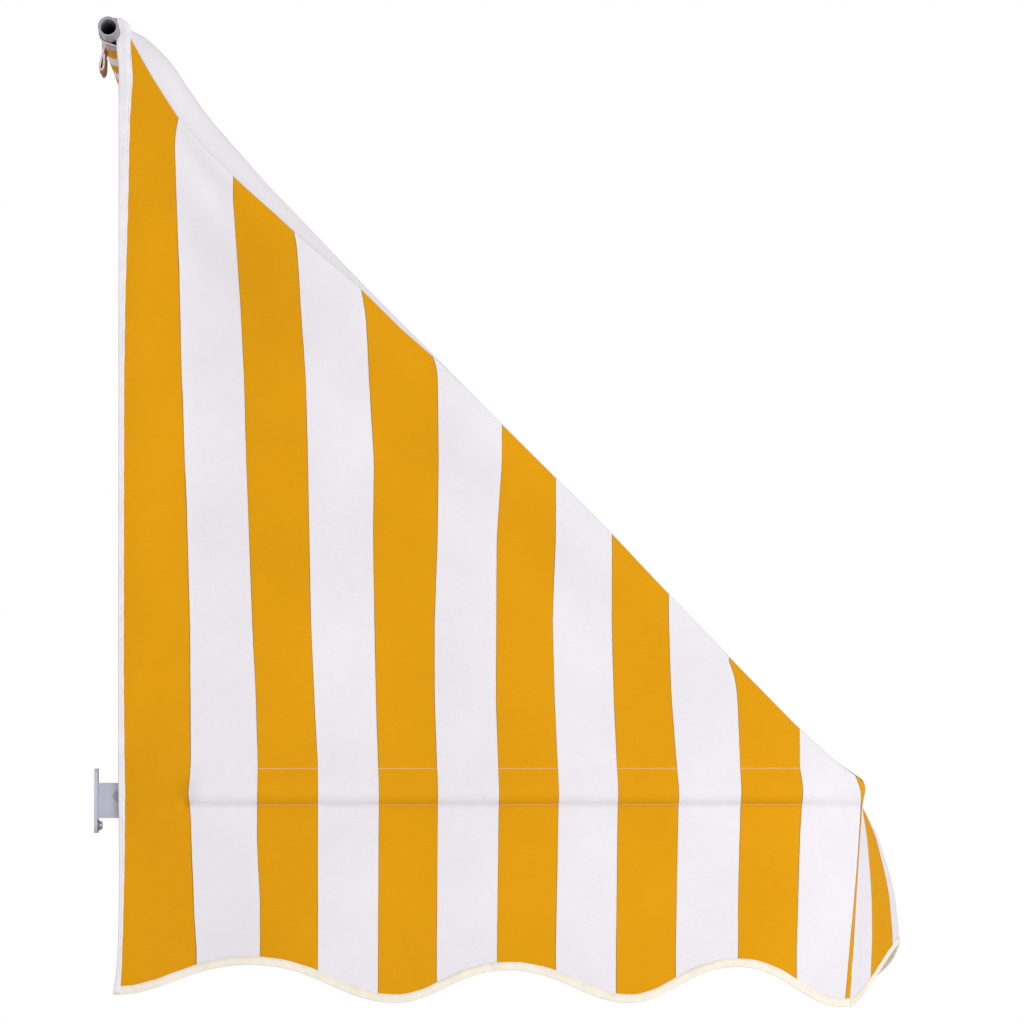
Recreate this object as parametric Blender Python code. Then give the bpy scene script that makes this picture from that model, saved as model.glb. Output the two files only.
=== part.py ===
"""Striped fabric wall awning on a folding tube frame.

The wall is the plane Y = 0 and the awning reaches out towards -Y.
X runs along the width, Z is up. Lengths are in metres.
The origin is the wall face of the middle saddle, level with the top tube's axis.
"""

import math

import bmesh
import bpy
import numpy as np

# Cloth
STRIPE = 0.094  # width of one stripe
STRIPES = 15  # stripes across the awning
CLOTH = 0.0012  # thickness of the cloth
TAPE = 0.0008  # thickness of the edge tape
TAPE_WIDTH = 0.0135  # visible width of the edge tape
FOLD_SPACE = 0.0018  # between a cloth's edge and the fold of its tape
HEM_END = 0.0035  # ends of the front hem's tape inside the cloth
GAP = 0.0003  # clearance between neighbours

# Top tube and its wall fixings
TOP_RADIUS = 0.016
TOP_WALL = 0.0032
WALL_SPACE = 0.0009  # between the sleeve's tape and the wall
TOP_BARE = 0.065  # length of tube that shows past the cloth at each end
SADDLE_X = 0.55  # outer saddles, from the middle
SADDLE_WIDTH = 0.050
SADDLE_HALF_HEIGHT = 0.009
SCREW_PITCH = 0.030  # between the two screws of one saddle
SCREW_RADIUS = 0.0025
SCREW_CLEARANCE = 0.00025  # round the screw in its holes
SCREW_HEAD_RADIUS = 0.0048
SCREW_HEAD_HEIGHT = 0.003
ACCESS_CLEARANCE = 0.0007  # round the head in the hole that lets it into the tube

# Folding frame
PIVOT_OUT = 0.036
PIVOT_DROP = 1.198  # below the top tube's axis
FRONT_OUT = 1.182  # front tube axis to wall
ARM_RISE = 0.010  # front tube axis above the pivots
FRAME_RADIUS = 0.014
FRAME_WALL = 0.002
ELBOW_CLEARANCE = 0.0008  # between the elbow and the side panel
FLAT_THICKNESS = 0.005  # flattened end of the arm
FLAT_LENGTH = 0.040  # from the pivot to the start of the round tube's taper
TAPER_LENGTH = 0.035
ELBOW_WALL = 0.0057
ELBOW_REACH = 0.055  # from the corner to the mouth of each socket
ELBOW_HEEL = 0.002  # radius of the elbow's inside bend
SOCKET_FLOOR = 0.002  # between one tube's side and the other's socket
CORNER_SCREW_AT = 0.040  # from the corner

# Lower bracket
BRACKET_THICKNESS = 0.005
BRACKET_HEIGHT = 0.100
BRACKET_WIDTH = 0.050
BRACKET_CORNER = 0.012
EAR_HEIGHT = 0.055
PIVOT_UP = 0.007  # pivot above the bracket's middle
EAR_EDGE = 0.016  # from the pivot to the front of the ear
FIXING_PITCH = 0.077  # between the upper slot and the lower hole
FIXING_RADIUS = 0.0028
FIXING_CLEARANCE = 0.0004
SLOT_HALF_LENGTH = 0.008
WASHER_THICKNESS = 0.0016
WASHER_RADIUS = 0.0085
FIXING_WASHER_RADIUS = 0.0095
FIXING_HEAD_RADIUS = 0.0070
FIXING_HEAD_HEIGHT = 0.0050
PIVOT_RADIUS = 0.004
PIVOT_CLEARANCE = 0.0003  # round the bolt in the ear and in the arm
HEX_RADIUS = 0.0075  # corner radius of the pivot's hexagons
BOLT_HEAD = 0.0053
NUT_HEIGHT = 0.0065

# Side panels and valances
PANEL_SPACE = 0.003  # between the top tube and the rear edge of the side panel
SEAM_SAG = 0.045  # deepest sag of the roof's side seam below a straight line
CROWN_RISE = 0.018  # highest rise of the roof between the side seams
SHOULDER = 0.11  # distance over which the roof climbs from the seam
VALANCE_DROP = 0.340  # low points of the hem, below the front tube's axis
HEM_RISE = 0.058  # from a low point to a crest
SIDE_TURNS = (0, 0.184, 0.376, 0.532, 0.699, 0.846, 1)  # lows and crests, as shares of the side
FRONT_SCALLOPS = 3
FRONT_HEM_RISE = 0.068  # from a low point of the front hem to a crest
CORNER_TUCK = 0.022  # how far the lower corner hangs back from the front tube
VALANCE_FLARE = 0.104  # how far the front hem stands out at its first crest
POCKET_TOP = 0.043  # upper seam of the arm's pocket, above the pivot
POCKET_BOTTOM = 0.0145  # lower seam of the pocket, below the pivot
POCKET_LIP = 0.004  # cloth past each seam
POCKET_START = 0.110  # along the arm, from the pivot
POCKET_STOP = 0.019  # from the pocket's end to the elbow
FRONT_POCKET_DROP = 0.032  # seam of the front tube's pocket below its axis
TAB_WIDTH = STRIPE
TAB_DROP = 0.060  # lower edge of the sleeve's tab below the top tube's axis
TAB_SPACE = 0.0035  # between that edge and the wall
TAB_SEAM = 0.0085  # seam of the tab behind the top tube's axis
LAP_ANGLE = math.radians(35)  # past the lowest point of the sleeve
LAP_LENGTH = 0.012
LAP_INSET = 0.003  # ends of the lap inside the roof's sides
SADDLE_SPACE = 0.003  # round each saddle where the sleeve is cut out

# Sizes that follow
HALF = STRIPE * STRIPES / 2
PANEL_INNER = HALF - CLOTH
SEAM_SPACE = 2 * GAP  # between the side panels and what they are sewn to
SLEEVE_RADIUS = TOP_RADIUS + GAP
TOP_OUT = SLEEVE_RADIUS + CLOTH + GAP + TAPE + WALL_SPACE  # top tube's axis to wall
PANEL_BACK = TOP_OUT + TOP_RADIUS + PANEL_SPACE  # rear edge of the side panel to wall
SCREW_HOLE_RADIUS = SCREW_RADIUS + SCREW_CLEARANCE
ACCESS_RADIUS = SCREW_HEAD_RADIUS + ACCESS_CLEARANCE
FIXING_HOLE_RADIUS = FIXING_RADIUS + FIXING_CLEARANCE
ELBOW_RADIUS = FRAME_RADIUS + GAP + ELBOW_WALL
ELBOW_BEND = ELBOW_RADIUS + ELBOW_HEEL  # radius of the elbow's middle line
SOCKET_BOTTOM = FRAME_RADIUS + SOCKET_FLOOR  # from the corner to the end of a tube
ARM_INSET = CLOTH + ELBOW_CLEARANCE + ELBOW_RADIUS  # arm's axis inside the cloth's side
ARM_X = HALF - ARM_INSET
FLAT_HALF_WIDTH = (math.pi * FRAME_RADIUS - FLAT_THICKNESS) / 2  # same girth as the tube
EAR_REACH = PIVOT_OUT + EAR_EDGE
BRACKET_DROP = PIVOT_DROP + PIVOT_UP
FRONT_RADIUS = ELBOW_RADIUS + 0.0005
FRONT_DROP = PIVOT_DROP - ARM_RISE  # front tube's axis below the top tube's
HEM_LOW = FRONT_DROP + VALANCE_DROP
SIDE_END = FRONT_OUT - 0.004  # last low point of the side hem
FRONT_SCALLOP = 2 * HALF / FRONT_SCALLOPS
RUN = math.hypot(FRONT_OUT - TOP_OUT, FRONT_DROP)
SLOPE = math.atan2(FRONT_DROP, FRONT_OUT - TOP_OUT)
DOWN = np.array([-math.cos(SLOPE), -math.sin(SLOPE)])  # along the roof, as (y, z)
OUT = np.array([-math.sin(SLOPE), math.cos(SLOPE)])  # outward from the roof
ARM_SPAN = math.hypot(FRONT_OUT - PIVOT_OUT, PIVOT_DROP - FRONT_DROP)
ARM_TILT = math.atan2(ARM_RISE, FRONT_OUT - PIVOT_OUT)
POCKET_END = ARM_SPAN - ELBOW_REACH - POCKET_STOP

# Shape of the roof along its run, as shares of SEAM_SAG and CROWN_RISE
SEAM_AT = (0, 0.016, 0.044, 0.08, 0.155, 0.242, 0.332, 0.432, 0.6, 0.75, 0.84, 0.93, 1)
SEAM_SHARE = (0, 0.08, 0.5, 0.9, 1, 0.9, 0.53, 0.33, 0.29, 0.33, 0.36, 0.25, 0)
CROWN_AT = (0, 0.02, 0.05, 0.08, 0.12, 0.2, 0.4, 0.8, 0.95, 1)
CROWN_SHARE = (0, 0.5, 1, 0.8, 0.25, -0.2, -0.4, -0.45, -0.35, 0)

# Flare of the front valance, as shares of VALANCE_FLARE: by distance from the side, and by height
FLARE_AT = (0, 0.26, 0.47, 0.705)
FLARE_SHARE = (0, 1, 0.5, 0.8)
FLARE_DROP_AT = (0, 0.06, 0.125, 0.235, 0.41, 0.51, 0.7, 1)
FLARE_DROP_SHARE = (0, 0.15, 0.31, 0.53, 0.74, 0.84, 0.95, 1)
ROOF_RUNS = (0.012, 0.026, 0.044, 0.064, 0.09, 0.13, 0.18, 0.24, 0.3, 0.37, 0.45, 0.62, 0.8, 0.92)
ROOF_RUNS += (1 - GAP / RUN,)

for old in list(bpy.data.objects):
    bpy.data.objects.remove(old, do_unlink=True)
scene = bpy.context.scene


def material(name, colour, roughness, metallic=0.0):
    made = bpy.data.materials.new(name)
    made.use_nodes = True
    shader = made.node_tree.nodes["Principled BSDF"]
    shader.inputs["Base Color"].default_value = (*colour, 1.0)
    shader.inputs["Roughness"].default_value = roughness
    shader.inputs["Metallic"].default_value = metallic
    made.diffuse_color = (*colour, 1.0)
    return made


CLOTH_LOOK = ((0.86, 0.62, 0.30), 0.9, 0.0)
TAPE_LOOK = ((0.93, 0.88, 0.78), 0.9, 0.0)
TUBE_LOOK = ((0.52, 0.52, 0.56), 0.38, 0.9)
ZINC_LOOK = ((0.60, 0.60, 0.66), 0.42, 0.85)
SCREW_LOOK = ((0.55, 0.55, 0.58), 0.35, 0.95)
ELBOW_LOOK = ((0.45, 0.45, 0.48), 0.5, 0.6)


def add(name, vertices, faces, look, parent=None, place=(0, 0, 0), turn=(0, 0, 0)):
    """One object from points and faces, with every face turned outwards."""
    mesh = bpy.data.meshes.new(name)
    mesh.from_pydata([tuple(map(float, v)) for v in vertices], [], faces)
    work = bmesh.new()
    work.from_mesh(mesh)
    bmesh.ops.recalc_face_normals(work, faces=work.faces)
    if work.calc_volume(signed=True) < 0:
        bmesh.ops.reverse_faces(work, faces=work.faces)
    work.to_mesh(mesh)
    work.free()
    made = bpy.data.objects.new(name, mesh)
    scene.collection.objects.link(made)
    if look is not None:
        made.data.materials.append(material(name, *look))
    made.location = place
    made.rotation_euler = turn
    made.parent = parent
    return made


def rings(sections):
    """Faces that join equal rings of points one after another."""
    count = len(sections[0])
    faces = []
    for i in range(len(sections) - 1):
        for k in range(count):
            a = i * count + k
            b = i * count + (k + 1) % count
            faces.append((a, b, b + count, a + count))
    return faces


def circle(radius, count, at=0.0, axis="X"):
    """Points of one ring about an axis, at a distance along it."""
    angle = np.arange(count) * 2 * np.pi / count
    flat = np.stack([np.cos(angle), np.sin(angle)], 1) * radius
    where = np.full(count, at)
    if axis == "X":
        return np.stack([where, flat[:, 0], flat[:, 1]], 1)
    if axis == "Y":
        return np.stack([flat[:, 0], where, flat[:, 1]], 1)
    return np.stack([flat[:, 0], flat[:, 1], where], 1)


def lathe(name, profile, look, axis="X", count=24, **extra):
    """A solid of revolution from (distance along the axis, radius) pairs."""
    points = []
    for at, radius in profile:
        points.append(circle(radius, count, at, axis))
    faces = rings(points)
    last = (len(points) - 1) * count
    faces.append(tuple(range(count)))
    faces.append(tuple(last + k for k in range(count)))
    return add(name, np.concatenate(points), faces, look, **extra)


def hollow(name, start, end, outer, inner, look, axis="X", count=24, **extra):
    """An open tube from start to end along an axis."""
    points = [
        circle(outer, count, start, axis),
        circle(outer, count, end, axis),
        circle(inner, count, end, axis),
        circle(inner, count, start, axis),
    ]
    faces = rings(points + [points[0]])
    faces = [tuple(v % (4 * count) for v in face) for face in faces]
    return add(name, np.concatenate(points), faces, look, **extra)


def cut(target, cutters):
    """Cuts a list of solids out of a target."""
    for index, cutter in enumerate(cutters):
        cutter.hide_render = True
        cutter.display_type = "WIRE"
        step = target.modifiers.new(f"cut {index + 1}", "BOOLEAN")
        step.operation = "DIFFERENCE"
        step.solver = "EXACT"
        step.object = cutter


def merge(target, others):
    """Joins a list of solids to a target."""
    for index, other in enumerate(others):
        other.hide_render = True
        other.display_type = "WIRE"
        step = target.modifiers.new(f"join {index + 1}", "BOOLEAN")
        step.operation = "UNION"
        step.solver = "EXACT"
        step.object = other


def soften(target, degrees=35):
    """Shades the round faces smooth and keeps the edges crisp."""
    for face in target.data.polygons:
        face.use_smooth = True
    limit = math.cos(math.radians(degrees))
    work = bmesh.new()
    work.from_mesh(target.data)
    for edge in work.edges:
        if len(edge.link_faces) == 2:
            first, second = edge.link_faces
            edge.smooth = first.normal.dot(second.normal) > limit
    work.to_mesh(target.data)
    work.free()


def several(name, solids):
    """One cutter made of several separate cylinders: (centre, axis, radius, half length)."""
    points = []
    faces = []
    for centre, axis, radius, half in solids:
        base = len(points)
        low = circle(radius, 16, -half, axis) + np.array(centre)
        high = circle(radius, 16, half, axis) + np.array(centre)
        points.extend(low)
        points.extend(high)
        for k in range(16):
            n = (k + 1) % 16
            faces.append((base + k, base + n, base + 16 + n, base + 16 + k))
        faces.append(tuple(base + k for k in range(16)))
        faces.append(tuple(base + 16 + k for k in range(16)))
    return add(name, points, faces, None)


def sheet(name, grid, look, thickness=CLOTH, keep=None, flip=False, **extra):
    """A cloth of even thickness on one side of a grid of points."""
    rows, columns = grid.shape[:2]
    along = np.gradient(grid, axis=0)
    across = np.gradient(grid, axis=1)
    normal = np.cross(along, across)
    normal /= np.linalg.norm(normal, axis=2, keepdims=True)
    if flip:
        normal = -normal
    flat = np.stack([grid, grid + normal * thickness])
    points = flat.reshape(-1, 3)
    if keep is None:
        keep = np.ones((rows - 1, columns - 1), bool)
    size = rows * columns
    faces = []
    edges = {}
    for i, j in zip(*np.nonzero(keep)):
        a = i * columns + j
        corners = (a, a + 1, a + columns + 1, a + columns)
        # Both sides are split along the same diagonal, so the thickness stays even.
        for half in (corners[:3], (a, a + columns + 1, a + columns)):
            faces.append(tuple(reversed(half)))
            faces.append(tuple(size + v for v in half))
        for k in range(4):
            edge = (corners[k], corners[(k + 1) % 4])
            key = tuple(sorted(edge))
            edges.setdefault(key, []).append(edge)
    for uses in edges.values():
        if len(uses) == 1:
            a, b = uses[0]
            faces.append((a, b, size + b, size + a))
    used = sorted({v for face in faces for v in face})
    index = {v: k for k, v in enumerate(used)}
    faces = [tuple(index[v] for v in face) for face in faces]
    return add(name, points[used], faces, look, **extra)


def tape(name, edge, inward, across, look, width=TAPE_WIDTH, room=GAP, **extra):
    """A folded tape round a cloth's edge.

    edge is the lowest line of the tape, inward points into the cloth and
    across points through it.
    """
    outer = CLOTH / 2 + room + TAPE
    inner = CLOTH / 2 + room
    shape = (
        (-outer, width),
        (-outer, 0),
        (outer, 0),
        (outer, width),
        (inner, width),
        (inner, TAPE),
        (-inner, TAPE),
        (-inner, width),
    )
    points = []
    for at, into, through in zip(edge, inward, across):
        for side, up in shape:
            points.append(at + through * side + into * up)
    faces = rings([range(8)] * len(edge))
    last = 8 * (len(edge) - 1)
    for base in (0, last):
        faces.append((base, base + 1, base + 6, base + 7))
        faces.append((base + 1, base + 2, base + 5, base + 6))
        faces.append((base + 2, base + 3, base + 4, base + 5))
    return add(name, points, faces, look, **extra)


def roof_offset(x, run):
    """How far the roof stands out from the straight line, by width and run."""
    seam = -SEAM_SAG * np.interp(run, SEAM_AT, SEAM_SHARE)
    crown = CROWN_RISE * np.interp(run, CROWN_AT, CROWN_SHARE)
    share = np.clip((HALF - abs(x)) / SHOULDER, 0, 1)
    share = share * share * (3 - 2 * share)
    return seam + (crown - seam) * share


def roof_point(x, run):
    """Inner face of the roof at a width and at a share of its run, as (y, z)."""
    base = np.array([-TOP_OUT, 0]) + DOWN * RUN * run
    lift = SLEEVE_RADIUS + (FRONT_RADIUS - SLEEVE_RADIUS) * run + roof_offset(x, run)
    return base + OUT * lift


def side_hem(y):
    """Height of the side hem's lowest line at a distance from the wall."""
    turn = np.interp((y - PANEL_BACK) / (SIDE_END - PANEL_BACK), SIDE_TURNS, range(len(SIDE_TURNS)))
    return -HEM_LOW + HEM_RISE * (1 - math.cos(math.pi * turn)) / 2


def front_hem(x):
    """Height of the front hem's lowest line at a place along the width."""
    phase = (HALF - abs(x)) / FRONT_SCALLOP
    return -HEM_LOW + FRONT_HEM_RISE * (1 - math.cos(2 * math.pi * phase)) / 2


def corner_line(z):
    """Distance from the wall of the corner between side and front, at a height."""
    share = min(max((-FRONT_DROP - z) / VALANCE_DROP, 0), 1)
    return FRONT_OUT + FRONT_RADIUS - CORNER_TUCK * share


def valance_out(x, z):
    """Distance from the wall of the front valance's inner face."""
    share = min(max((-FRONT_DROP - z) / VALANCE_DROP, 0), 1)
    turn = np.interp(HALF - abs(x), FLARE_AT, range(len(FLARE_AT)))
    step = min(int(turn), len(FLARE_AT) - 2)
    ease = (1 - math.cos(math.pi * (turn - step))) / 2
    swell = FLARE_SHARE[step] + (FLARE_SHARE[step + 1] - FLARE_SHARE[step]) * ease
    return corner_line(z) + VALANCE_FLARE * swell * np.interp(share, FLARE_DROP_AT, FLARE_DROP_SHARE)


def mirror(name):
    return ((-1, name + "_left"), (1, name + "_right"))


# Top tube, its saddles and its screws
SADDLES = (-SADDLE_X, 0.0, SADDLE_X)
screw_places = [s + k * SCREW_PITCH / 2 for s in SADDLES for k in (-1, 1)]
top_tube = hollow(
    "top_tube",
    -HALF - TOP_BARE,
    HALF + TOP_BARE,
    TOP_RADIUS,
    TOP_RADIUS - TOP_WALL,
    TUBE_LOOK,
    place=(0, -TOP_OUT, 0),
)
soften(top_tube)
holes = []
for x in screw_places:
    holes.append(((x, -TOP_OUT - TOP_RADIUS, 0), "Y", ACCESS_RADIUS, 0.010))
    holes.append(((x, -TOP_OUT + TOP_RADIUS, 0), "Y", SCREW_HOLE_RADIUS, 0.008))
cut(top_tube, [several("holes in top tube", holes)])

for x, label in zip(SADDLES, ("left", "middle", "right")):
    angles = np.linspace(1, -1, 9) * math.asin(SADDLE_HALF_HEIGHT / SLEEVE_RADIUS)
    outline = [(0.0, -SADDLE_HALF_HEIGHT), (0.0, SADDLE_HALF_HEIGHT)]
    for angle in angles:
        outline.append((-TOP_OUT + SLEEVE_RADIUS * math.cos(angle), SLEEVE_RADIUS * math.sin(angle)))
    ends = [-SADDLE_WIDTH / 2, SADDLE_WIDTH / 2]
    points = [(side, y, z) for side in ends for y, z in outline]
    size = len(outline)
    faces = rings([range(size)] * 2)
    faces.append(tuple(range(size)))
    faces.append(tuple(range(size, 2 * size)))
    saddle = add("top_saddle_" + label, points, faces, ZINC_LOOK, place=(x, 0, 0))
    pair = [((x + k * SCREW_PITCH / 2, -0.004, 0), "Y", SCREW_HOLE_RADIUS, 0.01) for k in (-1, 1)]
    cut(saddle, [several("holes in saddle " + label, pair)])

seat = TOP_OUT - math.sqrt((TOP_RADIUS - TOP_WALL) ** 2 - SCREW_HEAD_RADIUS ** 2) + 0.0002
for number, x in enumerate(screw_places):
    profile = (
        (-seat - SCREW_HEAD_HEIGHT, SCREW_HEAD_RADIUS * 0.6),
        (-seat - SCREW_HEAD_HEIGHT * 0.7, SCREW_HEAD_RADIUS * 0.9),
        (-seat - SCREW_HEAD_HEIGHT * 0.3, SCREW_HEAD_RADIUS),
        (-seat, SCREW_HEAD_RADIUS),
        (-seat + 0.00001, SCREW_RADIUS),
        (-0.0002, SCREW_RADIUS),
    )
    soften(lathe(f"top_screw_{number + 1}", profile, SCREW_LOOK, "Y", 16, place=(x, 0, 0)))

# Hinge of the folding frame: everything that swings hangs from this point
hinge = bpy.data.objects.new("frame_hinge", None)
hinge.location = (0, -PIVOT_OUT, -PIVOT_DROP)
scene.collection.objects.link(hinge)

# Lower brackets with their fixings and pivots
flat_inner = ARM_X - FLAT_THICKNESS / 2
flat_outer = ARM_X + FLAT_THICKNESS / 2
ear_inner = flat_outer + 2 * GAP + WASHER_THICKNESS
ear_outer = ear_inner + BRACKET_THICKNESS
fixing_x = ear_outer + (BRACKET_WIDTH - BRACKET_THICKNESS) / 2


def rounded(half_width, half_height, corner, square_left=False):
    """Outline of a plate with round corners; one side can stay square."""
    outline = []
    for quarter, (sx, sy) in enumerate(((1, 1), (-1, 1), (-1, -1), (1, -1))):
        if square_left and sx < 0:
            outline.append((-half_width, sy * half_height))
            continue
        for step in range(7):
            angle = math.radians(90 * quarter + 15 * step)
            x = sx * (half_width - corner) + corner * math.cos(angle)
            y = sy * (half_height - corner) + corner * math.sin(angle)
            outline.append((x, y))
    return outline


def slab(name, outline, look, low, high, axis, place):
    """A plate from an outline, between two levels along an axis."""
    points = []
    for level in (low, high):
        for a, b in outline:
            points.append((level, a, b) if axis == "X" else (a, level, b))
    size = len(outline)
    faces = rings([range(size)] * 2)
    faces.append(tuple(range(size)))
    faces.append(tuple(range(size, 2 * size)))
    return add(name, points, faces, look, place=place)


for side, name in mirror("lower_bracket"):
    plate_mid = side * (ear_inner + BRACKET_WIDTH / 2)
    outline = rounded(BRACKET_WIDTH / 2, BRACKET_HEIGHT / 2, BRACKET_CORNER, True)
    outline = [(side * a, b) for a, b in outline]
    where = (plate_mid, 0, -BRACKET_DROP)
    plate = slab(name, outline, ZINC_LOOK, -BRACKET_THICKNESS, 0, "Y", where)
    outline = rounded(EAR_REACH / 2, EAR_HEIGHT / 2, BRACKET_CORNER, True)
    outline = [(-a, b) for a, b in outline]
    where = (0, -EAR_REACH / 2 - 0.001, -BRACKET_DROP)
    levels = (side * ear_inner, side * ear_outer)
    ear = slab("ear of " + name, outline, None, min(levels), max(levels), "X", where)
    merge(plate, [ear])
    upper = (side * fixing_x, -0.002, -BRACKET_DROP + FIXING_PITCH / 2)
    lower = (side * fixing_x, -0.002, -BRACKET_DROP - FIXING_PITCH / 2)
    pivot = (side * (ear_inner + ear_outer) / 2, -PIVOT_OUT, -PIVOT_DROP)
    bores = [
        (lower, "Y", FIXING_HOLE_RADIUS, 0.01),
        (pivot, "X", PIVOT_RADIUS + PIVOT_CLEARANCE, 0.01),
    ]
    slot = []
    for quarter in range(24):
        angle = 2 * math.pi * (quarter + 0.5) / 24
        shift = SLOT_HALF_LENGTH - FIXING_HOLE_RADIUS
        shift = shift if math.sin(angle) > 0 else -shift
        slot.append((FIXING_HOLE_RADIUS * math.cos(angle), FIXING_HOLE_RADIUS * math.sin(angle) + shift))
    slot_cut = slab("slot of " + name, slot, None, -0.01, 0.01, "Y", upper)
    cut(plate, [several("holes of " + name, bores), slot_cut])

for side, name in mirror("fixing_washer"):
    where = (side * fixing_x, -BRACKET_THICKNESS - GAP, -BRACKET_DROP - FIXING_PITCH / 2)
    washer = hollow(
        name,
        -WASHER_THICKNESS,
        0,
        FIXING_WASHER_RADIUS,
        FIXING_RADIUS + GAP,
        SCREW_LOOK,
        axis="Y",
        count=20,
        place=where,
    )
    soften(washer)

for side, name in mirror("fixing_screw"):
    base = BRACKET_THICKNESS + WASHER_THICKNESS + 2 * GAP
    profile = (
        (-base - FIXING_HEAD_HEIGHT, FIXING_HEAD_RADIUS * 0.6),
        (-base - FIXING_HEAD_HEIGHT * 0.85, FIXING_HEAD_RADIUS * 0.88),
        (-base - FIXING_HEAD_HEIGHT * 0.3, FIXING_HEAD_RADIUS),
        (-base, FIXING_HEAD_RADIUS),
        (-base + 0.00001, FIXING_RADIUS),
        (-0.0002, FIXING_RADIUS),
    )
    where = (side * fixing_x, 0, -BRACKET_DROP - FIXING_PITCH / 2)
    soften(lathe(name, profile, SCREW_LOOK, "Y", 20, place=where))


def hexagon(name, side, near, far, pin=None, bore=None):
    """A hexagonal head or nut across X, with a pin or a bore on its axis."""
    corners = []
    for at in (near, far):
        for k in range(6):
            angle = math.radians(60 * k + 15)
            corners.append((side * at, HEX_RADIUS * math.cos(angle), HEX_RADIUS * math.sin(angle)))
    faces = rings([range(6)] * 2)
    faces.append(tuple(range(6)))
    faces.append(tuple(range(6, 12)))
    made = add(name, corners, faces, SCREW_LOOK, place=(0, -PIVOT_OUT, -PIVOT_DROP))
    if pin:
        end, radius = pin
        middle = (near + 0.001 + end) / 2
        half = abs(near + 0.001 - end) / 2
        centre = (side * middle, -PIVOT_OUT, -PIVOT_DROP)
        merge(made, [several("pin of " + name, [(centre, "X", radius, half)])])
    if bore:
        centre = (side * (near + far) / 2, -PIVOT_OUT, -PIVOT_DROP)
        cut(made, [several("bore of " + name, [(centre, "X", bore, 0.02)])])
    return made


nut_outer = flat_inner - WASHER_THICKNESS - 2 * GAP
for side, name in mirror("pivot_bolt"):
    near = ear_outer + GAP
    pin = (nut_outer - NUT_HEIGHT - 0.002, PIVOT_RADIUS)
    hexagon(name, side, near, near + BOLT_HEAD, pin=pin)
for side, name in mirror("pivot_nut"):
    far = nut_outer - NUT_HEIGHT
    hexagon(name, side, nut_outer, far, bore=PIVOT_RADIUS + GAP / 2)
for side, name in mirror("pivot_washer_outer"):
    inner = flat_outer + GAP
    washer = hollow(
        name,
        side * inner,
        side * (inner + WASHER_THICKNESS),
        WASHER_RADIUS,
        PIVOT_RADIUS + GAP / 2,
        SCREW_LOOK,
        count=20,
        place=(0, -PIVOT_OUT, -PIVOT_DROP),
    )
    soften(washer)
for side, name in mirror("pivot_washer_inner"):
    inner = nut_outer + GAP
    washer = hollow(
        name,
        side * inner,
        side * (inner + WASHER_THICKNESS),
        WASHER_RADIUS,
        PIVOT_RADIUS + GAP / 2,
        SCREW_LOOK,
        count=20,
        place=(0, -PIVOT_OUT, -PIVOT_DROP),
    )
    soften(washer)

# Arms: tubes with a flattened, drilled rear end, drawn along -Y from the pivot
ARM_TURN = (-ARM_TILT, 0, 0)


def arm_section(thick, wide, at, count=24):
    """A flattened ring across the arm."""
    points = []
    for k in range(count):
        angle = 2 * math.pi * (k + 0.5) / count
        c, s = math.cos(angle), math.sin(angle)
        share = min(1.0, (wide - thick) / (FLAT_HALF_WIDTH - FLAT_THICKNESS / 2))
        power = 1 - 0.62 * max(share, 0)
        x = thick * math.copysign(abs(c) ** power, c)
        z = wide * math.copysign(abs(s) ** (1 - 0.3 * max(share, 0)), s)
        points.append((x, -at, z))
    return points


for side, name in mirror("arm"):
    half_flat = FLAT_THICKNESS / 2
    stations = []
    for angle in (75, 50, 25, 0):
        reach = FLAT_HALF_WIDTH * math.sin(math.radians(angle))
        stations.append((-reach, half_flat, FLAT_HALF_WIDTH * math.cos(math.radians(angle))))
    stations.append((FLAT_LENGTH - 0.006, half_flat, FLAT_HALF_WIDTH))
    for step in range(1, 6):
        share = step / 5
        blend = share * share * (3 - 2 * share)
        thick = half_flat + (FRAME_RADIUS - half_flat) * blend
        wide = FLAT_HALF_WIDTH + (FRAME_RADIUS - FLAT_HALF_WIDTH) * blend
        stations.append((FLAT_LENGTH + TAPER_LENGTH * share, thick, wide))
    end = ARM_SPAN - SOCKET_BOTTOM - GAP
    stations.append((end, FRAME_RADIUS, FRAME_RADIUS))
    points = []
    for at, thick, wide in stations:
        points.extend(arm_section(thick, wide, at))
    inner = FRAME_RADIUS - FRAME_WALL
    for at in (end, FLAT_LENGTH + TAPER_LENGTH + 0.004):
        points.extend(arm_section(inner, inner, at))
    total = len(stations) + 2
    faces = rings([range(24)] * total)
    faces.append(tuple(range(24)))
    faces.append(tuple(range(24 * (total - 1), 24 * total)))
    where = (side * ARM_X, 0, 0)
    arm = add(name, points, faces, TUBE_LOOK, parent=hinge, place=where, turn=ARM_TURN)
    soften(arm)
    drill = several("pivot hole of " + name, [((0, 0, 0), "X", PIVOT_RADIUS + PIVOT_CLEARANCE, 0.02)])
    drill.parent = hinge
    drill.location = where
    screw_at = (0, -(ARM_SPAN - CORNER_SCREW_AT), -FRAME_RADIUS)
    drill2 = several("screw hole of " + name, [(screw_at, "Z", 0.0022, 0.006)])
    drill2.parent = hinge
    drill2.location = where
    drill2.rotation_euler = ARM_TURN
    cut(arm, [drill, drill2])

# Front tube and corner elbows
CORNER = (0, -(FRONT_OUT - PIVOT_OUT), PIVOT_DROP - FRONT_DROP)
half_front = ARM_X - SOCKET_BOTTOM - GAP
front_tube = hollow(
    "front_tube",
    -half_front,
    half_front,
    FRAME_RADIUS,
    FRAME_RADIUS - FRAME_WALL,
    TUBE_LOOK,
    parent=hinge,
    place=CORNER,
)
soften(front_tube)
pair = [((k * (ARM_X - CORNER_SCREW_AT), 0, -FRAME_RADIUS), "Z", 0.0022, 0.006) for k in (-1, 1)]
front_holes = several("screw holes of front tube", pair)
front_holes.parent = hinge
front_holes.location = CORNER
cut(front_tube, [front_holes])

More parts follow.
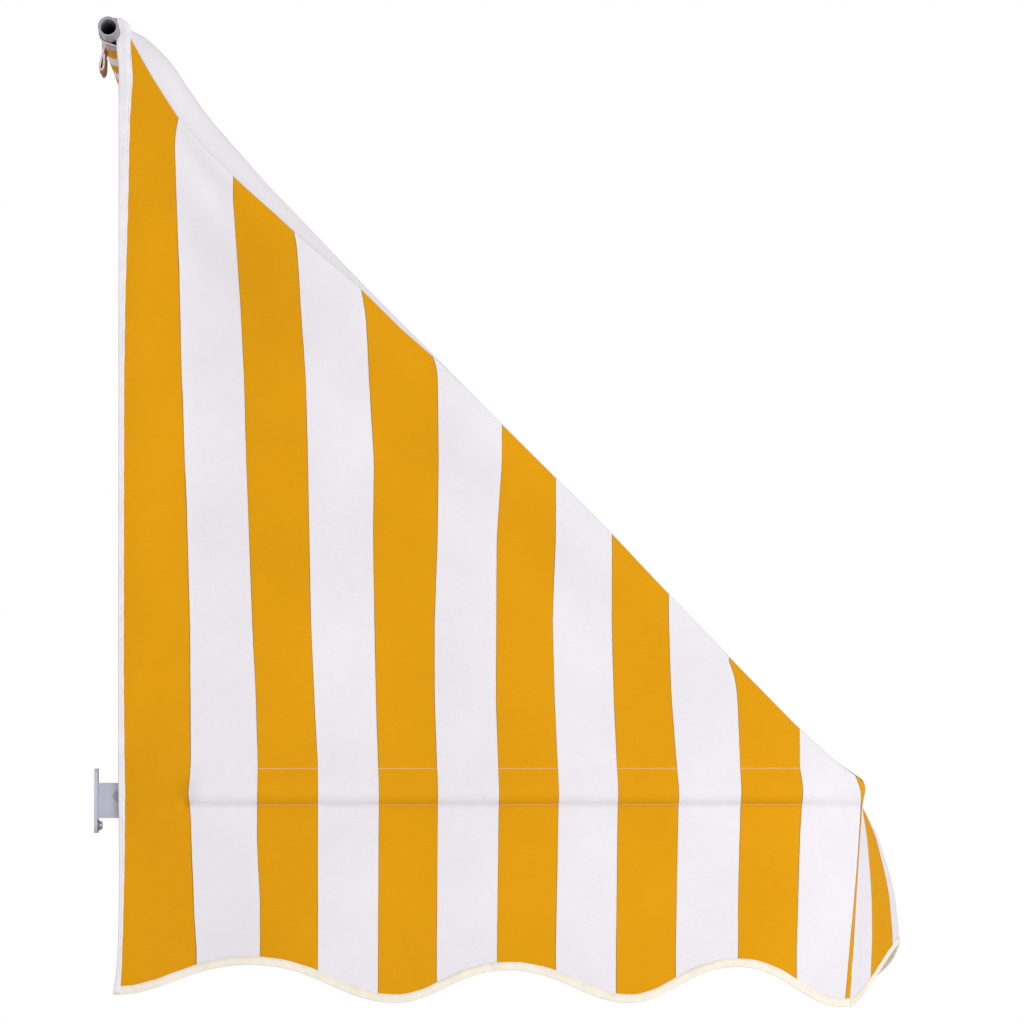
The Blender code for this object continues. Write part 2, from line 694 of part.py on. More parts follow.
for side, name in mirror("corner_elbow"):
    where = (side * ARM_X, CORNER[1], CORNER[2])
    first = np.array([-side, 0.0, 0.0])
    second = np.array([0.0, math.cos(ARM_TILT), -math.sin(ARM_TILT)])
    upright = np.cross(first, second)
    path = [(first * ELBOW_REACH, second)]
    for angle in np.linspace(0, math.pi / 2, 7):
        inward = second * math.cos(angle) + first * math.sin(angle)
        path.append(((first + second - inward) * ELBOW_BEND, inward))
    path.append((second * ELBOW_REACH, first))
    points = []
    for at, inward in path:
        for k in range(24):
            angle = 2 * math.pi * (k + 0.5) / 24
            points.append(at + ELBOW_RADIUS * (math.cos(angle) * inward + math.sin(angle) * upright))
    faces = rings([range(24)] * len(path))
    faces.append(tuple(range(24)))
    faces.append(tuple(range(24 * (len(path) - 1), 24 * len(path))))
    elbow = add(name, points, faces, ELBOW_LOOK, parent=hinge, place=where)
    bore_x = lathe(
        "bore x of " + name,
        (
            (-side * SOCKET_BOTTOM, FRAME_RADIUS + GAP),
            (-side * (ELBOW_REACH + 0.01), FRAME_RADIUS + GAP),
        ),
        None,
        "X",
        24,
        parent=hinge,
        place=where,
    )
    bore_y = lathe(
        "bore y of " + name,
        ((SOCKET_BOTTOM, FRAME_RADIUS + GAP), (ELBOW_REACH + 0.01, FRAME_RADIUS + GAP)),
        None,
        "Y",
        24,
        parent=hinge,
        place=where,
        turn=ARM_TURN,
    )
    at_x = (-side * CORNER_SCREW_AT, 0, -ELBOW_RADIUS)
    at_y = (0, CORNER_SCREW_AT, -ELBOW_RADIUS)
    deep = ELBOW_RADIUS - FRAME_RADIUS + 0.005
    hole_x = several("screw x of " + name, [(at_x, "Z", 0.0022, deep)])
    hole_y = several("screw y of " + name, [(at_y, "Z", 0.0022, deep)])
    for helper in (hole_x, hole_y):
        helper.parent = hinge
        helper.location = where
    hole_y.rotation_euler = ARM_TURN
    cut(elbow, [bore_x, bore_y, hole_x, hole_y])
    soften(elbow)

for side, end in ((-1, "left"), (1, "right")):
    profile = (
        (-ELBOW_RADIUS - GAP - 0.0024, 0.0022),
        (-ELBOW_RADIUS - GAP - 0.0018, 0.0036),
        (-ELBOW_RADIUS - GAP, 0.0040),
        (-ELBOW_RADIUS - GAP + 0.00001, 0.0020),
        (-FRAME_RADIUS + FRAME_WALL + 0.001, 0.0020),
        (-FRAME_RADIUS + FRAME_WALL + 0.003, 0.0008),
    )
    places = (
        ("corner_screw_front_", (side * (ARM_X - CORNER_SCREW_AT), CORNER[1], CORNER[2]), (0, 0, 0)),
        ("corner_screw_arm_", None, ARM_TURN),
    )
    for label, where, turn in places:
        if where is None:
            reach = ARM_SPAN - CORNER_SCREW_AT
            y = -reach * math.cos(ARM_TILT)
            z = reach * math.sin(ARM_TILT)
            where = (side * ARM_X, y, z)
        made = lathe(label + end, profile, SCREW_LOOK, "Z", 16, parent=hinge, place=where, turn=turn)
        soften(made)

# Roof with its sleeve round the top tube, from the lap's end to the front seam
LAP_HALF = HALF - LAP_INSET
stations_x = [HALF, LAP_HALF, HALF - 0.03, HALF - 0.07, HALF - SHOULDER]
for middle in (SADDLE_X, 0.0):
    for k in (1, -1):
        stations_x.append(middle + k * (SADDLE_WIDTH / 2 + SADDLE_SPACE))
stations_x = sorted({round(s * v, 6) for v in stations_x for s in (-1, 1)})
columns = np.array(stations_x)
rows = []
center = np.array([-TOP_OUT, 0.0])
turn_end = math.pi + LAP_ANGLE
reach_from = SLEEVE_RADIUS * math.sin(LAP_ANGLE)
rise = SLEEVE_RADIUS - GAP + SLEEVE_RADIUS * math.cos(LAP_ANGLE)
reach_to = reach_from + rise / math.tan(LAP_ANGLE)
for extra in (LAP_LENGTH, 0.0):
    rows.append(("lap", reach_to + extra))
rows.append(("slant", 0.5))
for angle in np.linspace(turn_end, 0, 13):
    rows.append(("turn", angle))
for run in ROOF_RUNS:
    rows.append(("roof", run))
grid = np.zeros((len(rows), len(columns), 3))
for i, (kind, value) in enumerate(rows):
    for j, x in enumerate(columns):
        if kind == "roof":
            y, z = roof_point(x, value)
        elif kind == "turn":
            y, z = center + SLEEVE_RADIUS * (math.cos(value) * OUT - math.sin(value) * DOWN)
        elif kind == "lap":
            y, z = roof_point(x, value / RUN) - OUT * GAP
        else:
            reach = reach_from + (reach_to - reach_from) * value
            level = -SLEEVE_RADIUS * math.cos(LAP_ANGLE) + rise * value
            drop = roof_offset(x, reach_to / RUN) * value
            y, z = center + DOWN * reach + OUT * (level + drop)
        grid[i, j] = (x, y, z)
keep = np.ones((len(rows) - 1, len(columns) - 1), bool)
for i in range(len(rows) - 1):
    for j in range(len(columns) - 1):
        inside = grid[i : i + 2, j : j + 2].reshape(-1, 3).mean(0)
        at_side = abs(inside[0]) > LAP_HALF
        if at_side and rows[i][0] in ("lap", "slant"):
            keep[i, j] = False
        near_saddle = min(abs(inside[0] - s) for s in SADDLES) < SADDLE_WIDTH / 2
        low_enough = abs(inside[2]) < SADDLE_HALF_HEIGHT + SADDLE_SPACE + 0.001
        at_back = inside[1] > -TOP_OUT + 0.006 and low_enough
        if near_saddle and at_back:
            keep[i, j] = False
sheet("roof_panel", grid, CLOTH_LOOK, keep=keep)

# Tape round each end of the sleeve
for side, name in mirror("sleeve_tape"):
    radius = SLEEVE_RADIUS + CLOTH + GAP
    angles = np.linspace(math.radians(12), math.radians(205), 15)
    xs = side * (HALF - np.array([0.0, 0.018]))
    band = np.zeros((len(angles), 2, 3))
    for i, angle in enumerate(angles):
        y, z = center + radius * (math.cos(angle) * OUT - math.sin(angle) * DOWN)
        for j, x in enumerate(xs):
            band[i, j] = (x, y, z)
    sheet(name, band, TAPE_LOOK, thickness=TAPE, flip=side < 0)

# Tab that hangs from the back of each end of the sleeve
for side, name in mirror("sleeve_tab"):
    start = -TOP_OUT + TAB_SEAM
    top = -math.sqrt((SLEEVE_RADIUS + CLOTH + GAP + TAPE + GAP) ** 2 - TAB_SEAM ** 2)
    path = []
    for back, down in ((0, 0), (0.4, 0.235), (0.77, 0.583), (1, 1)):
        path.append((start + (-TAB_SPACE - start) * back, top + (-TAB_DROP - top) * down))
    xs = side * np.array([HALF - 0.001, HALF - TAB_WIDTH / 2, HALF - TAB_WIDTH])
    flap = np.zeros((len(path), len(xs), 3))
    for i, (y, z) in enumerate(path):
        for j, x in enumerate(xs):
            flap[i, j] = (x, y, z)
    sheet(name, flap, CLOTH_LOOK, flip=side < 0)

# Side panels: one cloth from the roof seam to the scalloped hem
edge = np.array([roof_point(HALF, run) for run in (0,) + ROOF_RUNS])
front_end = corner_line(-FRONT_DROP) - SEAM_SPACE
front_turn = FRONT_OUT - 0.022  # where the columns start to lean towards the corner
between = np.linspace(PANEL_BACK + 0.0515, FRONT_OUT - 0.032, 26)
panel_y = [PANEL_BACK + TAPE + FOLD_SPACE]
panel_y.extend(-y for y in edge[:, 0] if PANEL_BACK + 0.004 < -y < FRONT_OUT - 0.012)
panel_y.extend(y for y in between if np.abs(edge[:, 0] + y).min() > 0.014)
panel_y.extend([FRONT_OUT - 0.007, FRONT_OUT + 0.006, front_end])
panel_y.sort()
for side, name in mirror("side_panel"):
    inside = side * PANEL_INNER
    shape = np.zeros((3, len(panel_y), 3))
    for j, y in enumerate(panel_y):
        roof_z = np.interp(y, -edge[:, 0], edge[:, 1]) - SEAM_SPACE
        if y > FRONT_OUT:
            over = min(y - FRONT_OUT, FRONT_RADIUS - SEAM_SPACE)
            roof_z = min(roof_z, -FRONT_DROP + math.sqrt(FRONT_RADIUS ** 2 - over ** 2) - SEAM_SPACE)
        low = side_hem(y) + TAPE + FOLD_SPACE
        near_front = max(0, (y - front_turn) / (front_end - front_turn))
        for i, share in enumerate((0, 0.3, 1)):
            z = low + (roof_z - low) * share
            limit = corner_line(z) - SEAM_SPACE
            shape[i, j] = (inside, -(y + (limit - front_end) * near_front), z)
    sheet(name, shape, CLOTH_LOOK, flip=side < 0)

# Tape along the rear edge of each side panel
for side, name in mirror("rear_tape"):
    top = np.interp(PANEL_BACK + TAPE_WIDTH, -edge[:, 0], edge[:, 1]) - 0.005
    bottom = side_hem(PANEL_BACK) + TAPE_WIDTH + 0.003
    levels = np.linspace(top, bottom, 3)
    middle = side * (HALF - CLOTH / 2)
    line = [np.array([middle, -PANEL_BACK + TAPE, z]) for z in levels]
    inward = [np.array([0.0, -1.0, 0.0])] * len(line)
    across = [np.array([1.0, 0.0, 0.0])] * len(line)
    tape(name, line, inward, across, TAPE_LOOK)

# Tape along each side hem
hem_y = [PANEL_BACK] + [y for y in panel_y[1:] if y < SIDE_END - 0.01] + [SIDE_END - 0.002]
for side, name in mirror("hem_tape"):
    middle = side * (HALF - CLOTH / 2)
    line = np.array([(middle, -y, side_hem(y)) for y in hem_y])
    along = np.gradient(line, axis=0)
    along /= np.linalg.norm(along, axis=1, keepdims=True)
    across = np.array([1.0, 0.0, 0.0])
    inward = np.cross(across, along)
    inward *= np.sign(inward[:, 2:3])
    tape(name, line, inward, [across] * len(line), TAPE_LOOK)

# Pockets that hold the arms against the side panels: level seams round a rising arm
for side, name in mirror("arm_pocket"):
    radius = FRAME_RADIUS + GAP
    flat = ARM_INSET - CLOTH - GAP - CLOTH
    path = [(flat, POCKET_TOP + POCKET_LIP, 0), (flat, POCKET_TOP, 0)]
    for degrees in np.linspace(62, 298, 14):
        angle = math.radians(degrees)
        path.append((radius * math.cos(angle), radius * math.sin(angle), 1))
    path.extend([(flat, -POCKET_BOTTOM, 0), (flat, -POCKET_BOTTOM - POCKET_LIP, 0)])
    shape = np.zeros((len(path), 3, 3))
    for i, (u, v, follows) in enumerate(path):
        for j, at in enumerate((POCKET_START, (POCKET_START + POCKET_END) / 2, POCKET_END)):
            rise = at * math.tan(ARM_TILT) * follows
            shape[i, j] = (side * u, -at, v + rise)
    where = (side * ARM_X, 0, 0)
    sheet(name, shape, CLOTH_LOOK, flip=side < 0, parent=hinge, place=where)

# Front valance, from the roof seam over the front tube to the hem
to_hinge = np.array([0.0, PIVOT_OUT, PIVOT_DROP])
front_center = np.array([-FRONT_OUT, -FRONT_DROP])
valance_x = np.linspace(-1, 1, 43) * (PANEL_INNER - GAP)
turns = np.linspace(0, math.pi / 2 - SLOPE, 5)
shares = (0.12, 0.3, 0.5, 0.75, 1)
shape = np.zeros((len(turns) + len(shares), len(valance_x), 3))
for j, x in enumerate(valance_x):
    for i, angle in enumerate(turns):
        y, z = front_center + FRONT_RADIUS * (math.cos(angle) * OUT + math.sin(angle) * DOWN)
        shape[i, j] = (x, y, z)
    low = front_hem(x) + TAPE + FOLD_SPACE
    for i, share in enumerate(shares):
        z = -FRONT_DROP + (low + FRONT_DROP) * share
        shape[len(turns) + i, j] = (x, -valance_out(x, z), z)
sheet("front_valance", shape + to_hinge, CLOTH_LOOK, parent=hinge)

# Tape along the front hem
last = shape[-1] + to_hinge
inward = shape[-2] - shape[-1]
inward /= np.linalg.norm(inward, axis=1, keepdims=True)
along = np.gradient(last, axis=0)
across = np.cross(along, inward)
across /= np.linalg.norm(across, axis=1, keepdims=True)
line = last - across * np.sign(across[:, 1:2]) * CLOTH / 2 - inward * (TAPE + FOLD_SPACE)
line[0, 0] += HEM_END
line[-1, 0] -= HEM_END
tape("front_hem_tape", line, inward, across, TAPE_LOOK, room=2.6 * GAP, parent=hinge)

# Pocket behind the front tube
radius = FRAME_RADIUS + GAP
path = []
for angle in np.linspace(0, math.pi + SLOPE, 15):
    path.append(front_center + radius * (math.cos(angle) * OUT - math.sin(angle) * DOWN))
seam_y = -corner_line(-FRONT_DROP - FRONT_POCKET_DROP) + CLOTH + SEAM_SPACE
path.append(np.array([seam_y, -FRONT_DROP - FRONT_POCKET_DROP]))
pocket_x = np.array([-1.0, -0.5, 0.0, 0.5, 1.0]) * (ARM_X - ELBOW_REACH - 0.004)
shape = np.zeros((len(path), len(pocket_x), 3))
for i, (y, z) in enumerate(path):
    for j, x in enumerate(pocket_x):
        shape[i, j] = (x, y, z)
sheet("front_pocket", shape + to_hinge, CLOTH_LOOK, flip=True, parent=hinge)

bpy.context.view_layer.update()
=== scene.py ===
import math

import bmesh
import bpy
import numpy as np
from mathutils import Matrix, Vector


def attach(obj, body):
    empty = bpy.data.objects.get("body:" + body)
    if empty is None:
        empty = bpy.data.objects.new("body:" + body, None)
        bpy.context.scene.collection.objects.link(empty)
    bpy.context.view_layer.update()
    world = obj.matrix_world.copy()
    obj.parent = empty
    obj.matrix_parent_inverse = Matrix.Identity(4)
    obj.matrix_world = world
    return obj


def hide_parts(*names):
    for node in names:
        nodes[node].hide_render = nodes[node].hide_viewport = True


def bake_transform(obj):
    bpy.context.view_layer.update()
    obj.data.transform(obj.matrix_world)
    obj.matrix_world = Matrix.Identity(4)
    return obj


# Striped wall awning. X is the width, the wall is Y = 0, the awning reaches to -Y, Z is up, metres.
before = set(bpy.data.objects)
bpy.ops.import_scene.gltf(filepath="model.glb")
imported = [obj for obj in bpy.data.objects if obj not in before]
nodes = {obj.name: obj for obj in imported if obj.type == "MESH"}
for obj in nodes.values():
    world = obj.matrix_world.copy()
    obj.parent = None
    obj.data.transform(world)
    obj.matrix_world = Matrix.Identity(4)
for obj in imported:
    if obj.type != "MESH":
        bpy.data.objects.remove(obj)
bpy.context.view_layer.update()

camera = {
    "lens": 169.6,
    "sensor": 36,  # millimetres across
    "yaw": 1.92,  # degrees towards the front
    "pitch": 2.23,  # degrees upwards
    "aim": (-0.705, -0.6511, -0.7533),  # point at the middle of the picture
    "distance": 7.57,
    "middle": 512,  # column and row of the picture's middle
    "nearSide": -0.7055,  # x of the plane that a pixel is laid on
}


def cameraAxes(plan):
    # forward = (cos pitch cos yaw, -cos pitch sin yaw, sin pitch); right = (-sin yaw, -cos yaw, 0)
    yaw, pitch = math.radians(plan["yaw"]), math.radians(plan["pitch"])
    forward = (math.cos(pitch) * math.cos(yaw), -math.cos(pitch) * math.sin(yaw), math.sin(pitch))
    return forward, (-math.sin(yaw), -math.cos(yaw), 0)


def placeCamera(plan):
    # up = right x forward; the camera stands its distance behind the point that it looks at
    forward, right = (Vector(axis) for axis in cameraAxes(plan))
    up = right.cross(forward)
    made = bpy.data.objects.new("camera", bpy.data.cameras.new("camera"))
    made.data.lens = plan["lens"]
    made.data.sensor_width = plan["sensor"]
    made.data.sensor_fit = "HORIZONTAL"
    made.data.clip_end = 100
    turn = Matrix((right, up, -forward)).transposed().to_4x4()
    made.matrix_world = Matrix.Translation(Vector(plan["aim"]) - forward * plan["distance"]) @ turn
    bpy.context.scene.collection.objects.link(made)
    bpy.context.scene.camera = made


def fromPicture(column, row):
    # (distance from the wall, height) where the ray through a pixel meets the near side's plane
    forward, right = (np.array(axis) for axis in cameraAxes(camera))
    eye = np.array(camera["aim"]) - forward * camera["distance"]
    half, middle = camera["sensor"] / 2 / camera["lens"], camera["middle"]
    ray = forward + right * half * (column - middle) / middle
    ray = ray + np.cross(right, forward) * half * (middle - row) / middle
    hit = eye + ray * (camera["nearSide"] - eye[0]) / ray[0]
    return -float(hit[1]), float(hit[2])


placeCamera(camera)
print("camera ready")

# Sizes shared by the sewn pieces, in metres
awning = {
    "half": 0.705,  # half the width of the cloth
    "stripe": 0.094,
    "cloth": 0.0012,
    "tubeOut": 0.0195,  # top tube's axis to the wall
    "sleeve": 0.0163,  # radius inside the sleeve
    "frontOut": 1.182,
    "frontDrop": 1.188,
    "frontRadius": 0.0205,
    "pivotOut": 0.036,
    "pivotDrop": 1.198,
    "armTilt": math.atan2(0.010, 1.146),  # the arm's rise over its reach
    "armX": 0.683,
    "armRadius": 0.0143,
    "seamTop": -1.155,  # the two stitch lines of the arm's pocket
    "seamBottom": -1.2118,
    "hemGap": 0.0022,  # the cloth ends this far above its hem's lowest line
    "saddles": (-0.55, 0.0, 0.55),
}
run = math.hypot(awning["frontOut"] - awning["tubeOut"], awning["frontDrop"])  # tube to tube
slope = math.atan2(awning["frontDrop"], awning["frontOut"] - awning["tubeOut"])
down = np.array([-math.cos(slope), -math.sin(slope)])  # along the roof, as (y, z)
out = np.array([-math.sin(slope), math.cos(slope)])  # square to the roof, upwards


def smoothStep(value):
    # 3t^2 - 2t^3 between 0 and 1
    value = np.clip(value, 0, 1)
    return value * value * (3 - 2 * value)


def softCurve(at, places, values, width=0.01):
    # straight lines between the points, then a bell-shaped average that keeps both ends
    fine = np.linspace(places[0], places[-1], 1201)
    level = np.interp(fine, places, values)
    step = fine[1] - fine[0]
    reach = int(3 * width / step) + 1
    bell = np.exp(-0.5 * (np.arange(-reach, reach + 1) * step / width) ** 2)
    before = 2 * level[0] - level[reach:0:-1]
    after = 2 * level[-1] - level[-2:-reach - 2:-1]
    return np.interp(at, fine, np.convolve(np.concatenate([before, level, after]), bell / bell.sum(), "valid"))


def ripples(first, second, seed, count=7, low=8.0, high=30.0):
    # a sum of plane sine waves with fixed directions and phases, about -1 to 1
    pick = np.random.default_rng(seed)
    total = 0
    for _ in range(count):
        angle, phase = pick.uniform(0, math.pi), pick.uniform(0, 2 * math.pi)
        rate = pick.uniform(low, high)
        total = total + np.sin(rate * (first * math.cos(angle) + second * math.sin(angle)) + phase)
    return total / count


def gridFaces(rows, columns, wrap=False):
    # four neighbours of each cell, row by row; wrap joins the last column to the first
    index = np.arange(rows * columns).reshape(rows, columns)
    if wrap:
        index = np.concatenate([index, index[:, :1]], 1)
    corners = (index[:-1, :-1], index[:-1, 1:], index[1:, 1:], index[1:, :-1])
    return np.stack(corners, -1).reshape(-1, 4)


def makeMesh(name, points, faces, look, uv=None, flat=False):
    # a vertex for each point, a face for each row of point numbers, and one uv pair for each point
    points = np.asarray(points, float).reshape(-1, 3)
    mesh = bpy.data.meshes.new(name)
    mesh.from_pydata(points.tolist(), [], [list(face) for face in faces])
    mesh.polygons.foreach_set("use_smooth", np.full(len(mesh.polygons), not flat))
    if uv is not None:
        layer = mesh.uv_layers.new(name="cloth")
        corner = np.empty(len(mesh.loops), np.int32)
        mesh.loops.foreach_get("vertex_index", corner)
        layer.data.foreach_set("uv", np.asarray(uv, float).reshape(-1, 2)[corner].ravel())
    mesh.materials.append(look)
    made = bpy.data.objects.new(name, mesh)
    bpy.context.scene.collection.objects.link(made)
    return made


def normals(points):
    # cross product of the two directions of the grid
    across = np.cross(np.gradient(points, axis=0), np.gradient(points, axis=1))
    return across / np.maximum(np.linalg.norm(across, axis=2, keepdims=True), 1e-12)


def thicken(piece, amount):
    # two surfaces, each half the amount from the middle one
    wall = piece.modifiers.new("cloth thickness", "SOLIDIFY")
    wall.thickness = amount
    wall.offset = 0
    wall.use_even_offset = False
    return piece


def flatArea(points):
    # half the cross product of the diagonals of each cell
    first, second = points[1:, 1:] - points[:-1, :-1], points[1:, :-1] - points[:-1, 1:]
    return float(np.linalg.norm(np.cross(first, second), axis=2).sum() / 2)


foldRule = {
    "seamRise": 0.046,  # the pocket's upper seam above the line of the arm
    "seamReach": 0.11,  # distance from the pivot over which the pocket reaches that height
    "free": 89,  # degrees above the pocket at which the cloth stays with the wall
}


def followFold(piece):
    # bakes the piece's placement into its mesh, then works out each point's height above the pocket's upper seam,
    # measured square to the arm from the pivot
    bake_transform(piece)
    co = np.empty(len(piece.data.vertices) * 3)
    piece.data.vertices.foreach_get("co", co)
    co = co.reshape(-1, 3)
    reach, rise = -co[:, 1] - awning["pivotOut"], co[:, 2] + awning["pivotDrop"]
    tilt = awning["armTilt"]
    along = reach * math.cos(tilt) + rise * math.sin(tilt)
    above = rise * math.cos(tilt) - reach * math.sin(tilt)
    above = above - foldRule["seamRise"] * smoothStep(along / foldRule["seamReach"])


# Materials
palette = {
    "yellow": (0.775, 0.348, 0.006),
    "white": (0.860, 0.832, 0.882),
    "edgeLine": (0.270, 0.120, 0.020),
    "binding": (0.950, 0.880, 0.770),
    "rearBinding": (0.910, 0.880, 0.915),
    "thread": (0.970, 0.890, 0.680),
    "tab": (0.420, 0.205, 0.130),
    "tabEdge": (0.800, 0.690, 0.660),
    "steel": (0.300, 0.290, 0.340),
    "zinc": (0.520, 0.520, 0.610),
    "cast": (0.330, 0.330, 0.360),
    "screw": (0.260, 0.255, 0.270),
    "nylon": (0.620, 0.180, 0.170),
}


class Look:
    # a short way to add and join nodes in one material
    def __init__(self, name, roughness, metallic=0.0):
        self.made = bpy.data.materials.new(name)
        self.made.use_nodes = True
        self.tree = self.made.node_tree
        self.shader = self.tree.nodes["Principled BSDF"]
        self.shader.inputs["Roughness"].default_value = roughness
        self.shader.inputs["Metallic"].default_value = metallic

    def add(self, kind, **values):
        # one new node with its settings
        node = self.tree.nodes.new(kind)
        for key, value in values.items():
            setattr(node, key, value)
        return node

    def join(self, source, target):
        self.tree.links.new(source, target)

    def math(self, operation, first, second=None):
        # one operation on numbers or sockets
        node = self.add("ShaderNodeMath", operation=operation)
        for socket, value in zip(node.inputs, (first, second)):
            if isinstance(value, (int, float)):
                socket.default_value = value
            elif value is not None:
                self.join(value, socket)
        return node.outputs[0]

    def noise(self, vector, scale, detail=3.0, roughness=0.55):
        # a sum of noise in finer and finer scales, about 0 to 1
        node = self.add("ShaderNodeTexNoise")
        node.inputs["Scale"].default_value = scale
        node.inputs["Detail"].default_value = detail
        node.inputs["Roughness"].default_value = roughness
        self.join(vector, node.inputs["Vector"])
        return node.outputs["Fac"]

    def ramp(self, value, low, high, toLow, toHigh):
        # a straight line from (low, toLow) to (high, toHigh), level beyond them
        node = self.add("ShaderNodeMapRange")
        for index, number in enumerate((low, high, toLow, toHigh)):
            node.inputs[index + 1].default_value = number
        self.join(value, node.inputs[0])
        return node.outputs[0]

    def spots(self, vector, scale, detail, toLow, toHigh, edge=0.3):
        # noise stretched from toLow to toHigh
        return self.ramp(self.noise(vector, scale, detail), edge, 1 - edge, toLow, toHigh)

    def mix(self, share, first, second, blend="MIX"):
        # first + share * (second - first), or first * second when the blend multiplies
        node = self.add("ShaderNodeMix", data_type="RGBA", blend_type=blend)
        pairs = ((node.inputs[0], share), (node.inputs[6], first), (node.inputs[7], second))
        for socket, value in pairs:
            if isinstance(value, tuple):
                socket.default_value = (*value, 1)
            elif isinstance(value, (int, float)):
                socket.default_value = value
            else:
                self.join(value, socket)
        return node.outputs[2]

    def paint(self, colour, shade):
        # base colour = colour * shade, where the shade is one number for all three channels
        node = self.add("ShaderNodeCombineColor")
        for socket in node.inputs:
            self.join(shade, socket)
        self.join(self.mix(1.0, colour, node.outputs[0], "MULTIPLY"), self.shader.inputs["Base Color"])

    def bump(self, height, strength, distance, below=None):
        # tilts the surface by the slope of the height, on top of the bump below it
        node = self.add("ShaderNodeBump")
        node.inputs["Strength"].default_value = strength
        node.inputs["Distance"].default_value = distance
        self.join(height, node.inputs["Height"])
        if below is not None:
            self.join(below, node.inputs["Normal"])
        return node.outputs["Normal"]

    def place(self):
        return self.add("ShaderNodeTexCoord").outputs["Object"]

    def flatPlace(self):
        # the two numbers of the piece's own uv map
        node = self.add("ShaderNodeUVMap", uv_map="cloth")
        split = self.add("ShaderNodeSeparateXYZ")
        self.join(node.outputs["UV"], split.inputs[0])
        return split.outputs[0], split.outputs[1]


clothFinish = {
    "thread": 0.0012,  # pitch of the weave
    "threadDepth": 0.0002,
    "wobble": 0.004,  # of a stripe's edge, in stripes
    "line": (0.008, 0.014),  # the dark line is full up to the first and gone at the second, in stripes
    "wear": (0.35, 0.95),  # least and most of the dark line
    "cloud": (0.955, 1.03),  # darkest and brightest, in patches of about 0.2 m
    "grain": (0.975, 1.02),  # the same at the size of the threads
    "creaseDepth": 0.0016,
    "roughness": (0.80, 0.92),
    "specular": 0.06,
}


def weave(look, u, v, below):
    # plain weave: the product of two sine waves, one along each thread direction
    pitch = clothFinish["thread"]
    first = look.math("SINE", look.math("MULTIPLY", u, 2 * math.pi * awning["stripe"] / pitch))
    second = look.math("SINE", look.math("MULTIPLY", v, 2 * math.pi / pitch))
    return look.bump(look.math("MULTIPLY", first, second), 0.25, clothFinish["threadDepth"], below)


def stripedCloth(plan):
    # even stripe numbers are yellow, odd ones white, with a thin dark line along each yellow edge
    look = Look("striped cloth", 0.86)
    place = look.place()
    u, v = look.flatPlace()
    u = look.math("ADD", u, look.ramp(look.noise(place, 60, 2), 0, 1, -plan["wobble"], plan["wobble"]))
    isYellow = look.math("LESS_THAN", look.math("FRACT", look.math("MULTIPLY", u, 0.5)), 0.5)
    nearest = look.math("SUBTRACT", look.math("FRACT", look.math("ADD", u, 0.5)), 0.5)
    line = look.math("MULTIPLY", look.ramp(look.math("ABSOLUTE", nearest), *plan["line"], 1, 0), isYellow)
    line = look.math("MULTIPLY", line, look.spots(place, 9, 3, *plan["wear"], edge=0.35))
    colour = look.mix(line, look.mix(isYellow, palette["white"], palette["yellow"]), palette["edgeLine"])
    cloudy, grain = look.spots(place, 5, 4, *plan["cloud"]), look.spots(place, 420, 2, *plan["grain"])
    look.paint(colour, look.math("MULTIPLY", cloudy, grain))
    creases = look.bump(look.noise(place, 26, 4, 0.6), 0.35, plan["creaseDepth"])
    look.join(weave(look, u, v, creases), look.shader.inputs["Normal"])
    look.join(look.spots(place, 14, 2, *plan["roughness"]), look.shader.inputs["Roughness"])
    look.shader.inputs["Specular IOR Level"].default_value = plan["specular"]
    return look.made


tapeFinish = {
    "crossPitch": 0.0024,  # of the weaker ribs along the tape
    "border": 0.032,  # width of the border where there is one, in the tape's u
    "ribDepth": 0.0003,
    "creaseDepth": 0.0010,
    "specular": 0.25,
}


def ribbedTape(name, colour, pitch=0.0016, border=None):
    # fine ribs across the tape, paler and darker by a few percent; a border where u is near 0
    look = Look(name, 0.88)
    place = look.place()
    u, v = look.flatPlace()
    ribs = look.math("SINE", look.math("MULTIPLY", v, 2 * math.pi / pitch))
    edges = look.math("SINE", look.math("MULTIPLY", u, 2 * math.pi / tapeFinish["crossPitch"]))
    if border:
        colour = look.mix(look.math("LESS_THAN", u, tapeFinish["border"]), colour, border)
    look.paint(colour, look.math("ADD", look.ramp(ribs, -1, 1, -0.03, 0.03), look.spots(place, 40, 3, 0.94, 1.03)))
    low = look.bump(look.noise(place, 70, 3), 0.4, tapeFinish["creaseDepth"])
    height = look.math("ADD", ribs, look.math("MULTIPLY", edges, 0.4))
    look.join(look.bump(height, 0.2, tapeFinish["ribDepth"], low), look.shader.inputs["Normal"])
    look.shader.inputs["Specular IOR Level"].default_value = tapeFinish["specular"]
    return look.made


metals = {  # roughness, metallic, scale of the cloudy spangle, its contrast, strength of the pits
    "steel": (0.42, 0.75, 26, 0.16, 0.2),
    "zinc": (0.46, 0.55, 30, 0.07, 0.2),
    "cast": (0.58, 0.45, 60, 0.14, 0.5),
    "screw": (0.36, 0.85, 80, 0.10, 0.2),
    "nylon": (0.5, 0.0, 90, 0.08, 0.2),
}


